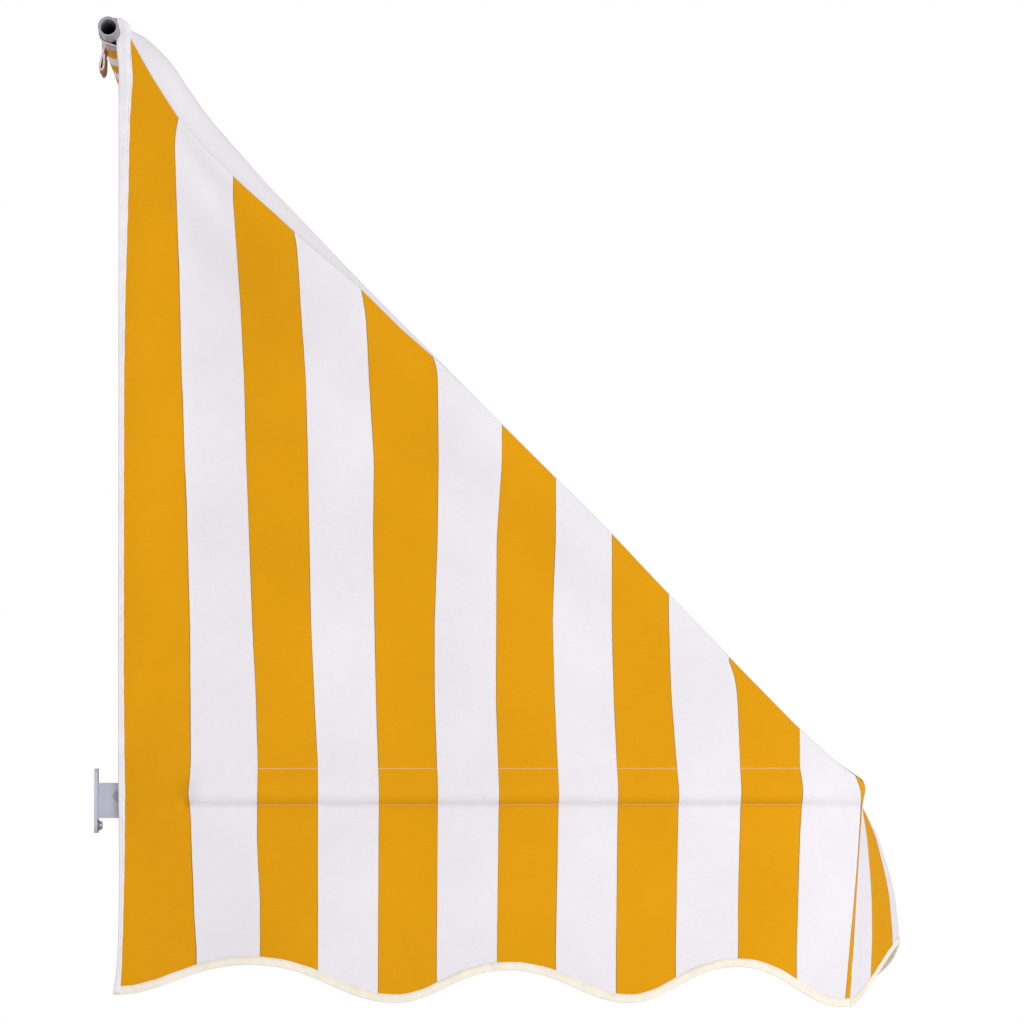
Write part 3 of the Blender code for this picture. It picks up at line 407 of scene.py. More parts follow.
def plainMetal(name, finish):
    # cloudy spangle with fine pits, rougher where it is brighter
    roughness, metallic, scale, spot, pitted = metals[finish]
    look = Look(name, roughness, metallic)
    place = look.place()
    cloud = look.noise(place, scale, 4, 0.6)
    cells = look.add("ShaderNodeTexVoronoi")
    cells.inputs["Scale"].default_value = scale * 9
    look.join(place, cells.inputs["Vector"])
    flake = look.add("ShaderNodeSeparateColor")
    look.join(cells.outputs["Color"], flake.inputs[0])
    look.paint(palette[finish], look.math("ADD", look.ramp(cloud, 0.3, 0.7, 1 - spot, 1 + spot),
                                          look.ramp(flake.outputs[0], 0, 1, -spot / 3, spot / 3)))
    look.join(look.ramp(cloud, 0.3, 0.7, roughness - 0.06, roughness + 0.10), look.shader.inputs["Roughness"])
    look.join(look.bump(look.noise(place, 500, 3, 0.7), pitted, 0.0004), look.shader.inputs["Normal"])
    return look


bore = {
    "axis": (-awning["tubeOut"], 0),  # of the top tube, as (y, z)
    "inner": 0.0128,  # radius of the hole
    # painted reflection: a pale matt colour that stands in for the light the bore's metal reflects at a grazing
    # angle
    "colour": (0.660, 0.645, 0.680),
}


def boredTube(name, finish, plan):
    # painted reflection: inside the bore, where the distance to the tube's axis is no more than the inner radius, a
    # pale colour with no metal in it stands in for the light reflected along the bore
    look = plainMetal(name, finish)
    shifted = look.add("ShaderNodeVectorMath", operation="SUBTRACT")
    look.join(look.place(), shifted.inputs[0])
    shifted.inputs[1].default_value = (0, *plan["axis"])
    flat = look.add("ShaderNodeVectorMath", operation="MULTIPLY")
    flat.inputs[1].default_value = (0, 1, 1)
    look.join(shifted.outputs[0], flat.inputs[0])
    reach = look.add("ShaderNodeVectorMath", operation="LENGTH")
    look.join(flat.outputs[0], reach.inputs[0])
    inside = look.ramp(reach.outputs["Value"], plan["inner"] + 0.0001, plan["inner"] + 0.0006, 1, 0)
    before = look.shader.inputs["Base Color"].links[0].from_socket
    # the painted reflection replaces the metal's colour and its metallic share inside the bore
    look.join(look.mix(inside, before, plan["colour"]), look.shader.inputs["Base Color"])
    look.join(look.ramp(inside, 0, 1, metals[finish][1], 0), look.shader.inputs["Metallic"])
    return look.made


clothLook = stripedCloth(clothFinish)
bindingLook = ribbedTape("white binding tape", palette["binding"])
rearLook = ribbedTape("rear binding cloth", palette["rearBinding"], 0.0010)
tabLook = ribbedTape("tan tab cloth", palette["tab"], 0.0012, palette["tabEdge"])
threadLook = ribbedTape("sewing thread", palette["thread"], 0.0006)
paleThreadLook = ribbedTape("pale sewing thread", palette["white"], 0.0006)
topTubeLook = boredTube("galvanised top tube", "steel", bore)
armLook = plainMetal("galvanised frame tube", "steel").made
zincLook = plainMetal("zinc plate", "zinc").made
castLook = plainMetal("cast elbow", "cast").made
screwLook = plainMetal("steel fastener", "screw").made
nylonLook = plainMetal("nylon washer", "nylon").made

metalOf = {
    "top_tube": topTubeLook, "arm_": armLook, "front_tube": armLook, "top_saddle": zincLook,
    "lower_bracket": zincLook, "corner_elbow": castLook, "top_screw": screwLook, "fixing_": screwLook,
    "corner_screw": screwLook, "pivot_bolt": screwLook, "pivot_nut": screwLook,
    "pivot_washer_inner": screwLook, "pivot_washer_outer": nylonLook,
}
for name, node in nodes.items():
    for start, look in metalOf.items():
        if name.startswith(start) and "pocket" not in name:
            for place in node.material_slots:
                place.material = look
print("materials ready")


# Roof and front valance: one cloth from the lap behind the sleeve to the front hem
roof = {
    "seamAt": (0, 0.006, 0.012, 0.019, 0.0566, 0.072, 0.1027, 0.14, 0.18, 0.207, 0.2336, 0.2636,
               0.30, 0.342, 0.393, 0.437, 0.527, 0.60, 0.666, 0.75, 0.84, 0.924, 0.97, 1),
    "seamShare": (-0.22, -0.17, -0.06, 0.02, 0.40, 0.52, 0.76, 0.85, 0.82, 0.77, 0.70, 0.65,
                  0.53, 0.40, 0.38, 0.25, 0.20, 0.17, 0.14, 0.19, 0.24, 0.24, 0.15, -0.067),
    "seamSag": 0.045,
    "crownAt": (0, 0.01, 0.02, 0.0335, 0.0476, 0.061, 0.078, 0.094, 0.12, 0.2, 0.4, 0.6, 0.8, 0.95, 1),
    "crownShare": (0.49, 0.97, 1.28, 1.28, 1.33, 1.22, 0.87, 0.65, 0.27, -0.2, -0.25, -0.22, -0.35, -0.3, 0.167),
    "crownRise": 0.018,
    "shoulder": 0.099,  # from the side, over which the seam's line blends into the crown's
    "liftTurn": 1.3,  # radians round the top tube over which the roof's lift fades out
    "wrinkle": 0.0016,
    "lapAngle": math.radians(35),
    "lapLength": 0.012,
    "lapUnder": 0.0015,  # how far the lap lies below the roof
    "slantUnder": 0.0012,  # the same where the closing cloth meets the lap
    "lapInset": 0.003,  # how much narrower the lap is, at each side
    "valanceInset": 0.0008,
    "opening": (0.028, 0.006, 0.0135),  # at each saddle: half width, from the tube's axis to the wall, half height
    "hemLow": -1.528,
    "hemRise": 0.085,
    "scallops": 3,
    "drop": 0.340,
    "tuck": 0.022,
    "bulge": 0.003,  # the corner elbow under the cloth
    "valanceWave": 0.0022,
    "flare": 0.106,
    "flareAt": (0, 0.05, 0.094, 0.14, 0.188, 0.24, 0.29, 0.34, 0.40, 0.47, 0.58, 0.705),  # from the side
    "flareShare": (0, 0.17, 0.38, 0.60, 0.82, 0.98, 1.0, 0.98, 0.70, 0.48, 0.62, 0.78),
    "fallAt": (0, 0.06, 0.125, 0.235, 0.41, 0.51, 0.7, 1),  # share of the drop below the front tube
    "fallShare": (0, 0.15, 0.31, 0.53, 0.74, 0.84, 0.95, 1),
}
lapNear = awning["sleeve"] * math.sin(roof["lapAngle"])
lapRise = awning["sleeve"] - 0.0003 + awning["sleeve"] * math.cos(roof["lapAngle"])
lapFar = lapNear + lapRise / math.tan(roof["lapAngle"])  # where the sleeve's lap meets the roof, from the top
roofShares = (np.linspace(0, 1, 131) ** 1.3)[1:]  # closer near the top tube


def roofOffset(x, share):
    # the seam's sag at the sides, blended over the shoulder into the crown in the middle
    seam = -roof["seamSag"] * softCurve(share, roof["seamAt"], roof["seamShare"], 0.004)
    crown = roof["crownRise"] * softCurve(share, roof["crownAt"], roof["crownShare"], 0.005)
    across = smoothStep((awning["half"] - np.abs(x)) / roof["shoulder"])
    fold = roof["wrinkle"] * ripples(x, share * run, 4)
    fold = fold * smoothStep(share / 0.03) * smoothStep((1 - share) / 0.02)
    return seam + (crown - seam) * across + fold * (0.25 + 0.75 * across)


def roofInner(x, share):
    # a straight line from tube to tube, lifted square to it by the tube's radius and the offset
    lift = awning["sleeve"] + (awning["frontRadius"] - awning["sleeve"]) * share + roofOffset(x, share)
    y = -awning["tubeOut"] + down[0] * run * share + out[0] * lift
    z = down[1] * run * share + out[1] * lift
    return y, z


def cornerLine(z):
    # distance from the wall of the corner between side and front, with a bell-shaped bulge at the tube
    share = np.clip((-awning["frontDrop"] - z) / roof["drop"], 0, 1)
    bulge = roof["bulge"] * np.exp(-((z + awning["frontDrop"]) / 0.016) ** 2)
    return awning["frontOut"] + awning["frontRadius"] + bulge - roof["tuck"] * share


def valanceOut(x, z):
    # the corner line plus a flare: a curve by distance from the side times a curve by height
    share = np.clip((-awning["frontDrop"] - z) / roof["drop"], 0, 1)
    swell = softCurve(awning["half"] - np.abs(x), roof["flareAt"], roof["flareShare"], 0.02)
    return cornerLine(z) + roof["flare"] * swell * softCurve(share, roof["fallAt"], roof["fallShare"], 0.02)


def frontHem(x):
    # a cosine with low points at the sides
    phase = (awning["half"] - np.abs(x)) * roof["scallops"] / (2 * awning["half"])
    return roof["hemLow"] + roof["hemRise"] * (1 - np.cos(2 * np.pi * phase)) / 2


def roofColumns():
    # even spacing, closer at the sides, with exact columns at the edges of the saddle openings
    t = np.linspace(-1, 1, 151)
    base = awning["half"] * (0.8 * t + 0.2 * np.sin(np.pi * t / 2))
    width = roof["opening"][0]
    exact = np.array([s + k * width for s in awning["saddles"] for k in (-1, 1)])
    far = np.abs(base[:, None] - exact[None]).min(1) > 0.004
    return np.sort(np.concatenate([base[far], exact]))


def roofGrid():
    # path of every column: lap, slant, turn round the top tube, roof, turn round the front tube, valance
    x = roofColumns()[None, :]
    sleeve, lap = awning["sleeve"], roof["lapAngle"]
    parts, kinds = [], []
    for value in np.linspace(lapFar + roof["lapLength"], lapFar, 4):
        y, z = roofInner(x, np.full_like(x, value / run))
        parts.append((y - out[0] * roof["lapUnder"], z - out[1] * roof["lapUnder"]))
        kinds.append("lap")
    for share in np.linspace(1, 0, 9)[1:-1]:
        level = -sleeve * math.cos(lap) + lapRise * share - roof["slantUnder"] * share
        level = level + roofOffset(x, np.full_like(x, lapFar / run)) * share
        reach = lapNear + (lapFar - lapNear) * share
        parts.append((-awning["tubeOut"] + down[0] * reach + out[0] * level, down[1] * reach + out[1] * level))
        kinds.append("slant")
    lift = roofOffset(x, np.zeros_like(x))
    for angle in np.linspace(math.pi + lap, 0, 34):
        radius = sleeve + lift * smoothStep(1 - angle / roof["liftTurn"])
        y = -awning["tubeOut"] + radius * (math.cos(angle) * out[0] - math.sin(angle) * down[0])
        z = radius * (math.cos(angle) * out[1] - math.sin(angle) * down[1])
        parts.append((y, z))
        kinds.append("sleeve")
    for share in roofShares:
        parts.append(roofInner(x, np.full_like(x, share)))
        kinds.append("roof")
    for angle in np.linspace(0, math.pi / 2 - slope, 9)[1:]:
        radius = awning["frontRadius"] + roof["bulge"]
        y = -awning["frontOut"] + radius * (math.cos(angle) * out[0] + math.sin(angle) * down[0])
        z = -awning["frontDrop"] + radius * (math.cos(angle) * out[1] + math.sin(angle) * down[1])
        parts.append((np.full_like(x, y), np.full_like(x, z)))
        kinds.append("turn")
    low = frontHem(x) + awning["hemGap"]
    for share in np.linspace(0, 1, 41)[1:]:
        z = -awning["frontDrop"] + (low + awning["frontDrop"]) * share
        wave = roof["valanceWave"] * ripples(x, z, 11, 6, 10, 26) * smoothStep(share / 0.3)
        wave = wave * smoothStep((awning["half"] - np.abs(x)) / 0.05)
        parts.append((-valanceOut(x, z) - wave, z))
        kinds.append("valance")
    y = np.stack([part[0][0] for part in parts])
    z = np.stack([part[1][0] for part in parts])
    inset = np.where(np.isin(kinds, ("lap", "slant")), roof["lapInset"], 0.0)
    inset = np.where(np.isin(kinds, ("valance",)), roof["valanceInset"], inset)
    wide = (awning["half"] - inset) / awning["half"]
    return np.stack([x * wide[:, None], y, z], -1), np.array(kinds)


roofPoints, roofKinds = roofGrid()
rowCount, columnCount = roofPoints.shape[:2]
roofNormals = -normals(roofPoints)
if roofNormals[rowCount // 2, columnCount // 2, 2] < 0:
    roofNormals = -roofNormals
roofMiddle = roofPoints + roofNormals * awning["cloth"] / 2
roofFaces = gridFaces(rowCount, columnCount)
centres = roofMiddle.reshape(-1, 3)[roofFaces].mean(1)
openHalf, openOut, openUp = roof["opening"]
nearSaddle = np.abs(centres[:, :1] - np.array(awning["saddles"])[None]).min(1) < openHalf
atBack = (centres[:, 1] > -awning["tubeOut"] + openOut) & (np.abs(centres[:, 2]) < openUp)
roofFaces = roofFaces[~(nearSaddle & atBack)]
middleSteps = np.diff(roofMiddle[:, columnCount // 2], axis=0)
lengths = np.concatenate([[0], np.cumsum(np.linalg.norm(middleSteps, axis=1))])
roofStripe = (roofPoints[:1, :, 0] + awning["half"]) / awning["stripe"] + 1
roofStripe = np.clip(roofStripe, 1.03, 15.97)  # the outer edges stay clear of a stripe's edge
roofUv = np.stack(np.broadcast_arrays(roofStripe, lengths[:, None]), -1)
roofCloth = thicken(makeMesh("roofCloth", roofMiddle, roofFaces[:, ::-1], clothLook, roofUv), 0.0010)
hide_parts("roof_panel", "front_valance")
followFold(roofCloth)
print("roof cloth", round(float(lengths[-1]), 3), "m long")


# Side panels
side = {
    "rearAt": (-1.513, -1.49, -1.44, -1.3, -1.15, -1.0, -0.6, -0.25, -0.09, 0.02),  # heights
    "rearOut": (0.0300, 0.0355, 0.0390, 0.0404, 0.0380, 0.0375, 0.0368, 0.0361, 0.0355, 0.0355),
    "hemTurns": ((114.5, 995), (250, 965), (395, 1003), (508, 970.5), (629, 1003), (738, 967), (842, 1007)),
    "pouch": 0.0130,  # how far the arm's pocket stands out
    "pouchPower": (1.5, 0.8),
    "pouchPeak": 0.652,  # share of the way from the upper seam to the lower one
    "pouchFrom": (0.118, 0.05),  # start from the wall, then the distance over which it swells
    "pouchTo": (1.10, 0.05),
    "dent": (-0.006, 0.05, 0.035, 0.175, 0.05),  # size; depth under the seam and its width; place and its width
    "sunk": 0.014,  # how far the middle of the side is drawn in
    "slack": 0.0030,
    "pucker": (0.0005, 0.031, 0.010),  # size, wave length, reach from a stitch line
    "notch": (-0.006, 0.141, 0.006, -1.2095, 0.008),  # size; place and width; height and its width
    "edgeShift": 0.9,  # pixels from a column in the table below to the edge in the picture
    "stripeRows": (  # rows of the picture, then the columns of the stripe edge in them
        ((119, 128, 140, 152, 175, 200, 300, 380, 460, 540, 620, 765, 788, 800, 805, 814, 840, 900, 950),
         (178, 175.5, 174, 174, 175, 176, 179, 181, 184, 187, 189, 190.5, 188, 187.5, 189, 190.5, 191, 193, 196)),
        ((200, 300, 380, 460, 540, 620, 700, 765, 840, 900), (232, 239, 243, 245, 248, 251, 255, 257, 256, 259)),
        ((230, 237, 246, 275, 300, 380, 460, 620, 710, 765, 950),
         (292.7, 294.7, 296, 298, 299.5, 305, 307, 310, 314, 317, 317)),
        ((290, 300, 320, 345, 380, 460, 540, 700, 790, 950), (360, 362.5, 365, 366.5, 368, 373, 372, 375, 378, 377)),
        ((354, 360, 370, 380, 460, 540, 620, 700, 790, 950), (431, 434.5, 436.5, 437, 438, 437, 434, 434, 437, 436)),
        ((460, 540, 700, 790, 950), (501, 496, 495, 498, 496)),
        ((540, 620, 700, 790, 950), (555, 552, 554, 558, 555)),
        ((620, 700, 790, 950), (611, 613, 617, 615)),
        ((620, 700, 790, 840, 950), (668, 671, 678, 677, 675)),
        ((662, 670, 680, 692, 706, 730, 790, 900, 950), (728, 732, 734.5, 736, 737, 738, 740, 737, 737)),
        ((765, 790, 840, 950), (799, 802, 799, 796)),
        ((775, 790, 800, 840, 900, 950, 1000), (853.6, 860, 860, 858, 853, 848.5, 844)),
    ),
}
side["hemOut"], side["hemLevel"] = zip(*[fromPicture(*turn) for turn in side["hemTurns"]])


def hemLevel(outward):
    # half cosines c between turning points, with crests broadened as c ^ (1 - 0.3 c)
    places, levels = np.array(side["hemOut"]), np.array(side["hemLevel"])
    index = np.clip(np.searchsorted(places, outward) - 1, 0, len(places) - 2)
    t = np.clip((outward - places[index]) / (places[index + 1] - places[index]), 0, 1)
    low, crest = np.minimum(levels[index], levels[index + 1]), np.maximum(levels[index], levels[index + 1])
    wave = (1 - np.cos(np.pi * np.where(levels[index + 1] > levels[index], t, 1 - t))) / 2
    return low + (crest - low) * wave ** (1 - 0.3 * wave) + 0.0008


seamEdge = np.stack(roofInner(np.full(600, awning["half"]), np.linspace(0, 1, 600)), -1)


def seamLevel(outward):
    # height of the roof's edge, which turns round the front tube at the end
    level = np.interp(outward, -seamEdge[:, 0], seamEdge[:, 1])
    reach = awning["frontRadius"] + roof["bulge"]
    over = np.clip(outward - awning["frontOut"], 0, reach - 0.0006)
    turn = -awning["frontDrop"] + np.sqrt(reach ** 2 - over ** 2)
    return np.where(outward > -seamEdge[-1, 0], turn, level) + 0.0002


def stripeNumber(outward, z):
    # counts the stripe edges passed, with a straight rise inside each stripe
    total = np.zeros_like(outward)
    edges = [np.zeros_like(outward)]
    for rows, columns in side["stripeRows"]:
        columns = [column + side["edgeShift"] for column in columns]
        far, heights = zip(*[fromPicture(column, row) for column, row in zip(columns, rows)])
        edges.append(softCurve(z, heights[::-1], far[::-1], 0.012))
    edges.append(edges[-1] + awning["stripe"])
    for low, high in zip(edges, edges[1:]):
        total = total + np.clip((outward - low) / (high - low), 0, 1)
    return total


def bell(value, middle, width):
    # exp(-((value - middle) / width) ^ 2)
    return np.exp(-((value - middle) / width) ** 2)


def sideOut(outward, z):
    # pocket's pouch, a dent and a broad hollow under the roof's seam, and slack waves pinned at the stitch lines
    top, bottom = awning["seamTop"], awning["seamBottom"]
    depth = seamLevel(outward) - z
    t = np.clip((top - z) / (top - bottom), 0, 1)
    (rise, fall), peak = side["pouchPower"], side["pouchPeak"]
    pouch = (t ** rise * (1 - t) ** fall) / (peak ** rise * (1 - peak) ** fall)
    pouch = pouch * smoothStep((outward - side["pouchFrom"][0]) / side["pouchFrom"][1])
    pouch = pouch * (1 - 0.35 * smoothStep((outward - side["pouchTo"][0]) / side["pouchTo"][1]))
    size, deep, deepWidth, at, atWidth = side["dent"]
    dent = size * bell(depth, deep, deepWidth) * bell(outward, at, atWidth) * smoothStep(depth / 0.03)
    sunk = smoothStep((depth * 0.7 - 0.03) / 0.12) * smoothStep((z + 1.15) / 0.35)
    hollow = dent - side["sunk"] * sunk * smoothStep((outward - 0.04) / 0.12)
    slack = ripples(outward, z * 0.6, 21, 6, 6, 20) * smoothStep(depth / 0.10)
    slack = slack * smoothStep((outward - 0.04) / 0.10)
    pin = 1 - 0.8 * bell(z, top, 0.02) - 0.8 * bell(z, bottom, 0.02)
    size, wave, width = side["pucker"]
    near = bell(z, top, width) + bell(z, bottom - 0.004, width)
    pucker = size * np.sin(outward * 2 * np.pi / wave + 1.5 * np.sin(outward * 23)) * near
    size, at, atWidth, height, heightWidth = side["notch"]
    notch = size * bell(outward, at, atWidth) * bell(z, height, heightWidth)
    return side["pouch"] * pouch + hollow + side["slack"] * slack * pin + pucker + notch


def sideGrid():
    # columns stand at fixed distances from the wall and lean at both ends; rows follow hem, pocket and seam
    last = float(cornerLine(-awning["frontDrop"])) - 0.0004
    first = side["rearOut"][-1]
    t = np.linspace(0, 1, 181)
    columns = first + (last - first) * (0.94 * t + 0.06 * (1 - np.cos(np.pi * t)) / 2)
    top = seamLevel(columns)
    low = hemLevel(columns) + awning["hemGap"]
    upper = np.minimum(awning["seamTop"], top - 0.006)
    lower = np.minimum(awning["seamBottom"], upper - 0.030)
    rows = []
    for start, end, count, power in ((low, lower, 34, 1), (lower, upper, 18, 1), (upper, top, 96, 1.15)):
        share = 1 - (1 - np.linspace(0, 1, count + 1)[: count if end is not top else count + 1]) ** power
        rows.append(start[None] + (end - start)[None] * share[:, None])
    z = np.concatenate(rows)
    outward = np.broadcast_to(columns, z.shape)
    rear = softCurve(z, side["rearAt"], side["rearOut"], 0.03) - first
    front = cornerLine(z) - 0.0004 - last
    leaning = outward + rear * (1 - smoothStep((outward - first) / 0.12))
    leaning = leaning + front * smoothStep((outward - (last - 0.05)) / 0.05)
    return leaning, z


sideOutward, sideZ = sideGrid()
sideStripe = stripeNumber(sideOutward, sideZ)
sideRelief = sideOut(sideOutward, sideZ)
for sign, end in ((-1, "Left"), (1, "Right")):
    x = sign * (awning["half"] - awning["cloth"] / 2 + sideRelief)
    points = np.stack([x, -sideOutward, sideZ], -1)
    faces = gridFaces(*sideZ.shape)
    if sign > 0:
        faces = faces[:, ::-1]
    panel = makeMesh("sideCloth" + end, points, faces, clothLook, np.stack([sideStripe, sideZ], -1))
    thicken(panel, 0.0010)
    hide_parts("side_panel_" + end.lower())
    followFold(panel)
print("side panels", round(flatArea(points), 3), "square metres each")


# Bindings: tape folded round an edge
binding = {
    "thick": 0.0008,
    "room": 0.0009,  # from the cloth's middle to the tape's inside
    "hemWidth": 0.0135,
    "top": 0.0225,  # upper end of the rear tape
    "overhang": 0.0026,  # of the rear tape beyond the cloth
    "mouthStep": 0.0036,  # how much nearer to the wall the rear tape is beside the sleeve
    "hemEnd": 0.0138,  # of the hem's tape beyond its last turn
    "rearAt": (-1.513, -1.44, -1.36, -1.27, -1.19, -1.0, -0.55, -0.42, -0.264, -0.185, -0.124, -0.09,
               -0.03, -0.0125, 0.0, 0.012, 0.0195, 0.0225),
    "rearWidth": (0.0110, 0.0072, 0.0078, 0.009, 0.0105, 0.009, 0.009, 0.0108, 0.0152, 0.0168, 0.0185,
                  0.0215, 0.0220, 0.0225, 0.0235, 0.0215, 0.0150, 0.0080),
    "frontWidth": 0.0130,
    "frontOverhang": (0.0014, 0.0028),  # of the front tape beyond the cloth, at its ends and below
}


def foldedTape(name, edge, inward, across, width, look=bindingLook, wave=0.0003, swell=1.0):
    # a U-shaped section (straight, half circle, straight) carried along the edge, as an outer and an inner wall
    count = len(edge)
    ones = np.ones(count)
    outer, inner = binding["room"] + binding["thick"], binding["room"]
    angles = np.linspace(np.pi, 2 * np.pi, 9)
    along = np.concatenate([[0], np.cumsum(np.linalg.norm(np.diff(edge, axis=0), axis=1))])
    flutter = 1 + 0.02 * np.sin(along * 2 * np.pi / 0.043)
    legs = [outer + (width * flutter - outer) * share for share in (1, 0.55, 0.2)]
    profile = []
    for radius, order in ((outer, 1), (inner, -1)):
        part = [(-radius * ones, leg) for leg in legs]
        part += [(c * radius * ones, (outer + s * radius) * ones) for c, s in zip(np.cos(angles), np.sin(angles))]
        part += [(radius * ones, leg) for leg in legs[::-1]]
        profile += part[::order]
    ripple = wave * np.sin(along * 2 * np.pi / 0.017 + 2 * np.sin(along * 9))
    points = [edge + across * (a * swell + ripple)[:, None] + inward * b[:, None] for a, b in profile]
    size = len(profile)
    caps = []
    for base, turn in ((0, 1), ((count - 1) * size, -1)):
        for k in range(size // 2 - 1):
            caps.append([base + v for v in (k, k + 1, size - 2 - k, size - 1 - k)][::turn])
    faces = np.concatenate([gridFaces(count, size, wrap=True), np.array(caps)])
    place = np.linspace(0, 0.022, size)[None] * np.ones((count, 1))
    uv = np.stack([place, np.broadcast_to(along[:, None], place.shape)], -1)
    return makeMesh(name, np.stack(points, 1), faces, look, uv)


def turnOutward(piece):
    # recalculates the faces of a closed shell, and turns them round if its volume comes out negative
    work = bmesh.new()
    work.from_mesh(piece.data)
    bmesh.ops.recalc_face_normals(work, faces=work.faces)
    if work.calc_volume(signed=True) < 0:
        bmesh.ops.reverse_faces(work, faces=work.faces)
    work.to_mesh(piece.data)
    work.free()
    return piece


def unit(vectors):
    # each vector divided by its length
    return vectors / np.maximum(np.linalg.norm(vectors, axis=-1, keepdims=True), 1e-12)


for sign, end in ((-1, "Left"), (1, "Right")):
    middle = awning["half"] - awning["cloth"] / 2
    outwardOfSide = np.array([float(sign), 0.0, 0.0])
    z = np.linspace(binding["top"], side["hemLevel"][0] + 0.0015, 240)
    rear = softCurve(z, side["rearAt"], side["rearOut"], 0.03)
    relief = np.interp(z, sideZ[:, 0], sideRelief[:, 0])
    rear = rear - binding["mouthStep"] * smoothStep((z + 0.06) / 0.04)
    edge = np.stack([sign * (middle + relief), -(rear - binding["overhang"]), z], 1)
    inward = np.broadcast_to(np.array([0.0, -1.0, 0.0]), edge.shape)
    across = np.broadcast_to(outwardOfSide, edge.shape)
    width = softCurve(z, binding["rearAt"], binding["rearWidth"], 0.003)
    swell = 1 + 0.5 * smoothStep((side["hemLevel"][0] + 0.045 - z) / 0.02)
    rearBinding = foldedTape("rearBinding" + end, edge, inward, across, width, rearLook, 0.0004, swell)
    turnOutward(rearBinding)
    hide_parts("rear_tape_" + end.lower())
    followFold(rearBinding)

    outward = np.linspace(side["rearOut"][0] + 0.0015, side["hemOut"][-1] + binding["hemEnd"], 260)
    level = hemLevel(outward)
    relief = np.interp(outward, sideOutward[0], sideRelief[0])
    edge = np.stack([sign * (middle + relief), -outward, level - 0.0008], 1)
    along = unit(np.gradient(edge, axis=0))
    across = np.broadcast_to(outwardOfSide, edge.shape)
    inward = unit(np.cross(across, along))
    inward = inward * np.sign(inward[:, 2:3])
    hemBinding = foldedTape("hemBinding" + end, edge, inward, across, binding["hemWidth"])
    turnOutward(hemBinding)
    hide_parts("hem_tape_" + end.lower())
    followFold(hemBinding)

valanceEnd = roofMiddle[-1]
valanceUp = unit(roofMiddle[-3] - roofMiddle[-1])
valanceFace = unit(np.cross(np.gradient(valanceEnd, axis=0), valanceUp))
valanceFace = valanceFace * np.sign(-valanceFace[:, 1:2])
frontBeyond, frontBelow = binding["frontOverhang"]
edge = valanceEnd - valanceUp * frontBelow
edge[0, 0] -= frontBeyond
edge[-1, 0] += frontBeyond
frontBinding = foldedTape("frontHemBinding", edge, valanceUp, valanceFace, binding["frontWidth"])
turnOutward(frontBinding)
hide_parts("front_hem_tape")
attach(frontBinding, "folding_frame")
print("bindings ready")


# Pockets, sleeve tapes and tabs
pocket = {
    "start": 0.110,  # along the arm, from its pivot
    "end": 1.072,
    "lip": 0.006,
    "thick": 0.0009,
    "room": 0.0006,  # round the tube
    "loose": 0.0008,
    "frontHalf": 0.624,  # half the length of the pocket behind the front tube
    "frontSeam": 0.032,  # its seam below the front tube's axis
}


for sign, end in ((-1, "Left"), (1, "Right")):
    # section: lip, upper seam, round the arm, lower seam, lip; the arm rises towards the front
    along = np.linspace(pocket["start"], pocket["end"], 90)
    radius = awning["armRadius"] + pocket["room"]
    flat = awning["half"] - awning["cloth"] - 0.0012 - awning["armX"]
    turn = np.radians(np.linspace(62, 298, 26))
    upper, lower = awning["seamTop"] + awning["pivotDrop"], awning["seamBottom"] + awning["pivotDrop"]
    u = np.concatenate([[flat, flat, flat], radius * np.cos(turn), [flat, flat, flat]])
    v = np.concatenate([[upper + pocket["lip"], upper + 0.003, upper], radius * np.sin(turn),
                        [lower, lower - 0.002, lower - pocket["lip"] + 0.001]])
    follows = np.concatenate([np.zeros(3), np.ones(26), np.zeros(3)])
    rise = along[None] * math.tan(awning["armTilt"]) * follows[:, None]
    loose = pocket["loose"] * np.sin(along / 0.013 + 2 * np.sin(along * 17))[None]
    loose = loose * follows[:, None] * (u < 0.004)[:, None]
    z = -awning["pivotDrop"] + v[:, None] + rise
    y = -awning["pivotOut"] - along[None] + 0 * z
    x = sign * (awning["armX"] + u[:, None] - np.abs(loose)) + 0 * z
    points = np.stack([x, y, z], -1)
    faces = gridFaces(*z.shape)[:, ::sign]
    uv = np.stack([stripeNumber(-y, z), z], -1)
    sleevePocket = thicken(makeMesh("armPocket" + end, points, faces, clothLook, uv), pocket["thick"])
    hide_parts("arm_pocket_" + end.lower())
    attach(sleevePocket, "folding_frame")

# Pocket behind the front tube: round the tube, then straight to its seam in the valance
turn = np.linspace(0, math.pi + slope, 30)
radius = awning["armRadius"] + pocket["room"]
y = -awning["frontOut"] + radius * (np.cos(turn) * out[0] - np.sin(turn) * down[0])
z = -awning["frontDrop"] + radius * (np.cos(turn) * out[1] - np.sin(turn) * down[1])
seamZ = -awning["frontDrop"] - pocket["frontSeam"]
seamY = -float(cornerLine(seamZ)) + 0.0024
y = np.concatenate([y, np.linspace(y[-1], seamY, 7)[1:], [seamY - 0.0002]])
z = np.concatenate([z, np.linspace(z[-1], seamZ, 7)[1:], [seamZ - 0.005]])
x = np.linspace(-1, 1, 121) * pocket["frontHalf"]
points = np.stack(np.broadcast_arrays(x[None], y[:, None], z[:, None]), -1)
uv = np.stack(np.broadcast_arrays((x[None] + awning["half"]) / awning["stripe"] + 1, z[:, None]), -1)
frontPocket = makeMesh("frontPocket", points, gridFaces(len(y), len(x)), clothLook, uv)
thicken(frontPocket, pocket["thick"])
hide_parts("front_pocket")
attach(frontPocket, "folding_frame")

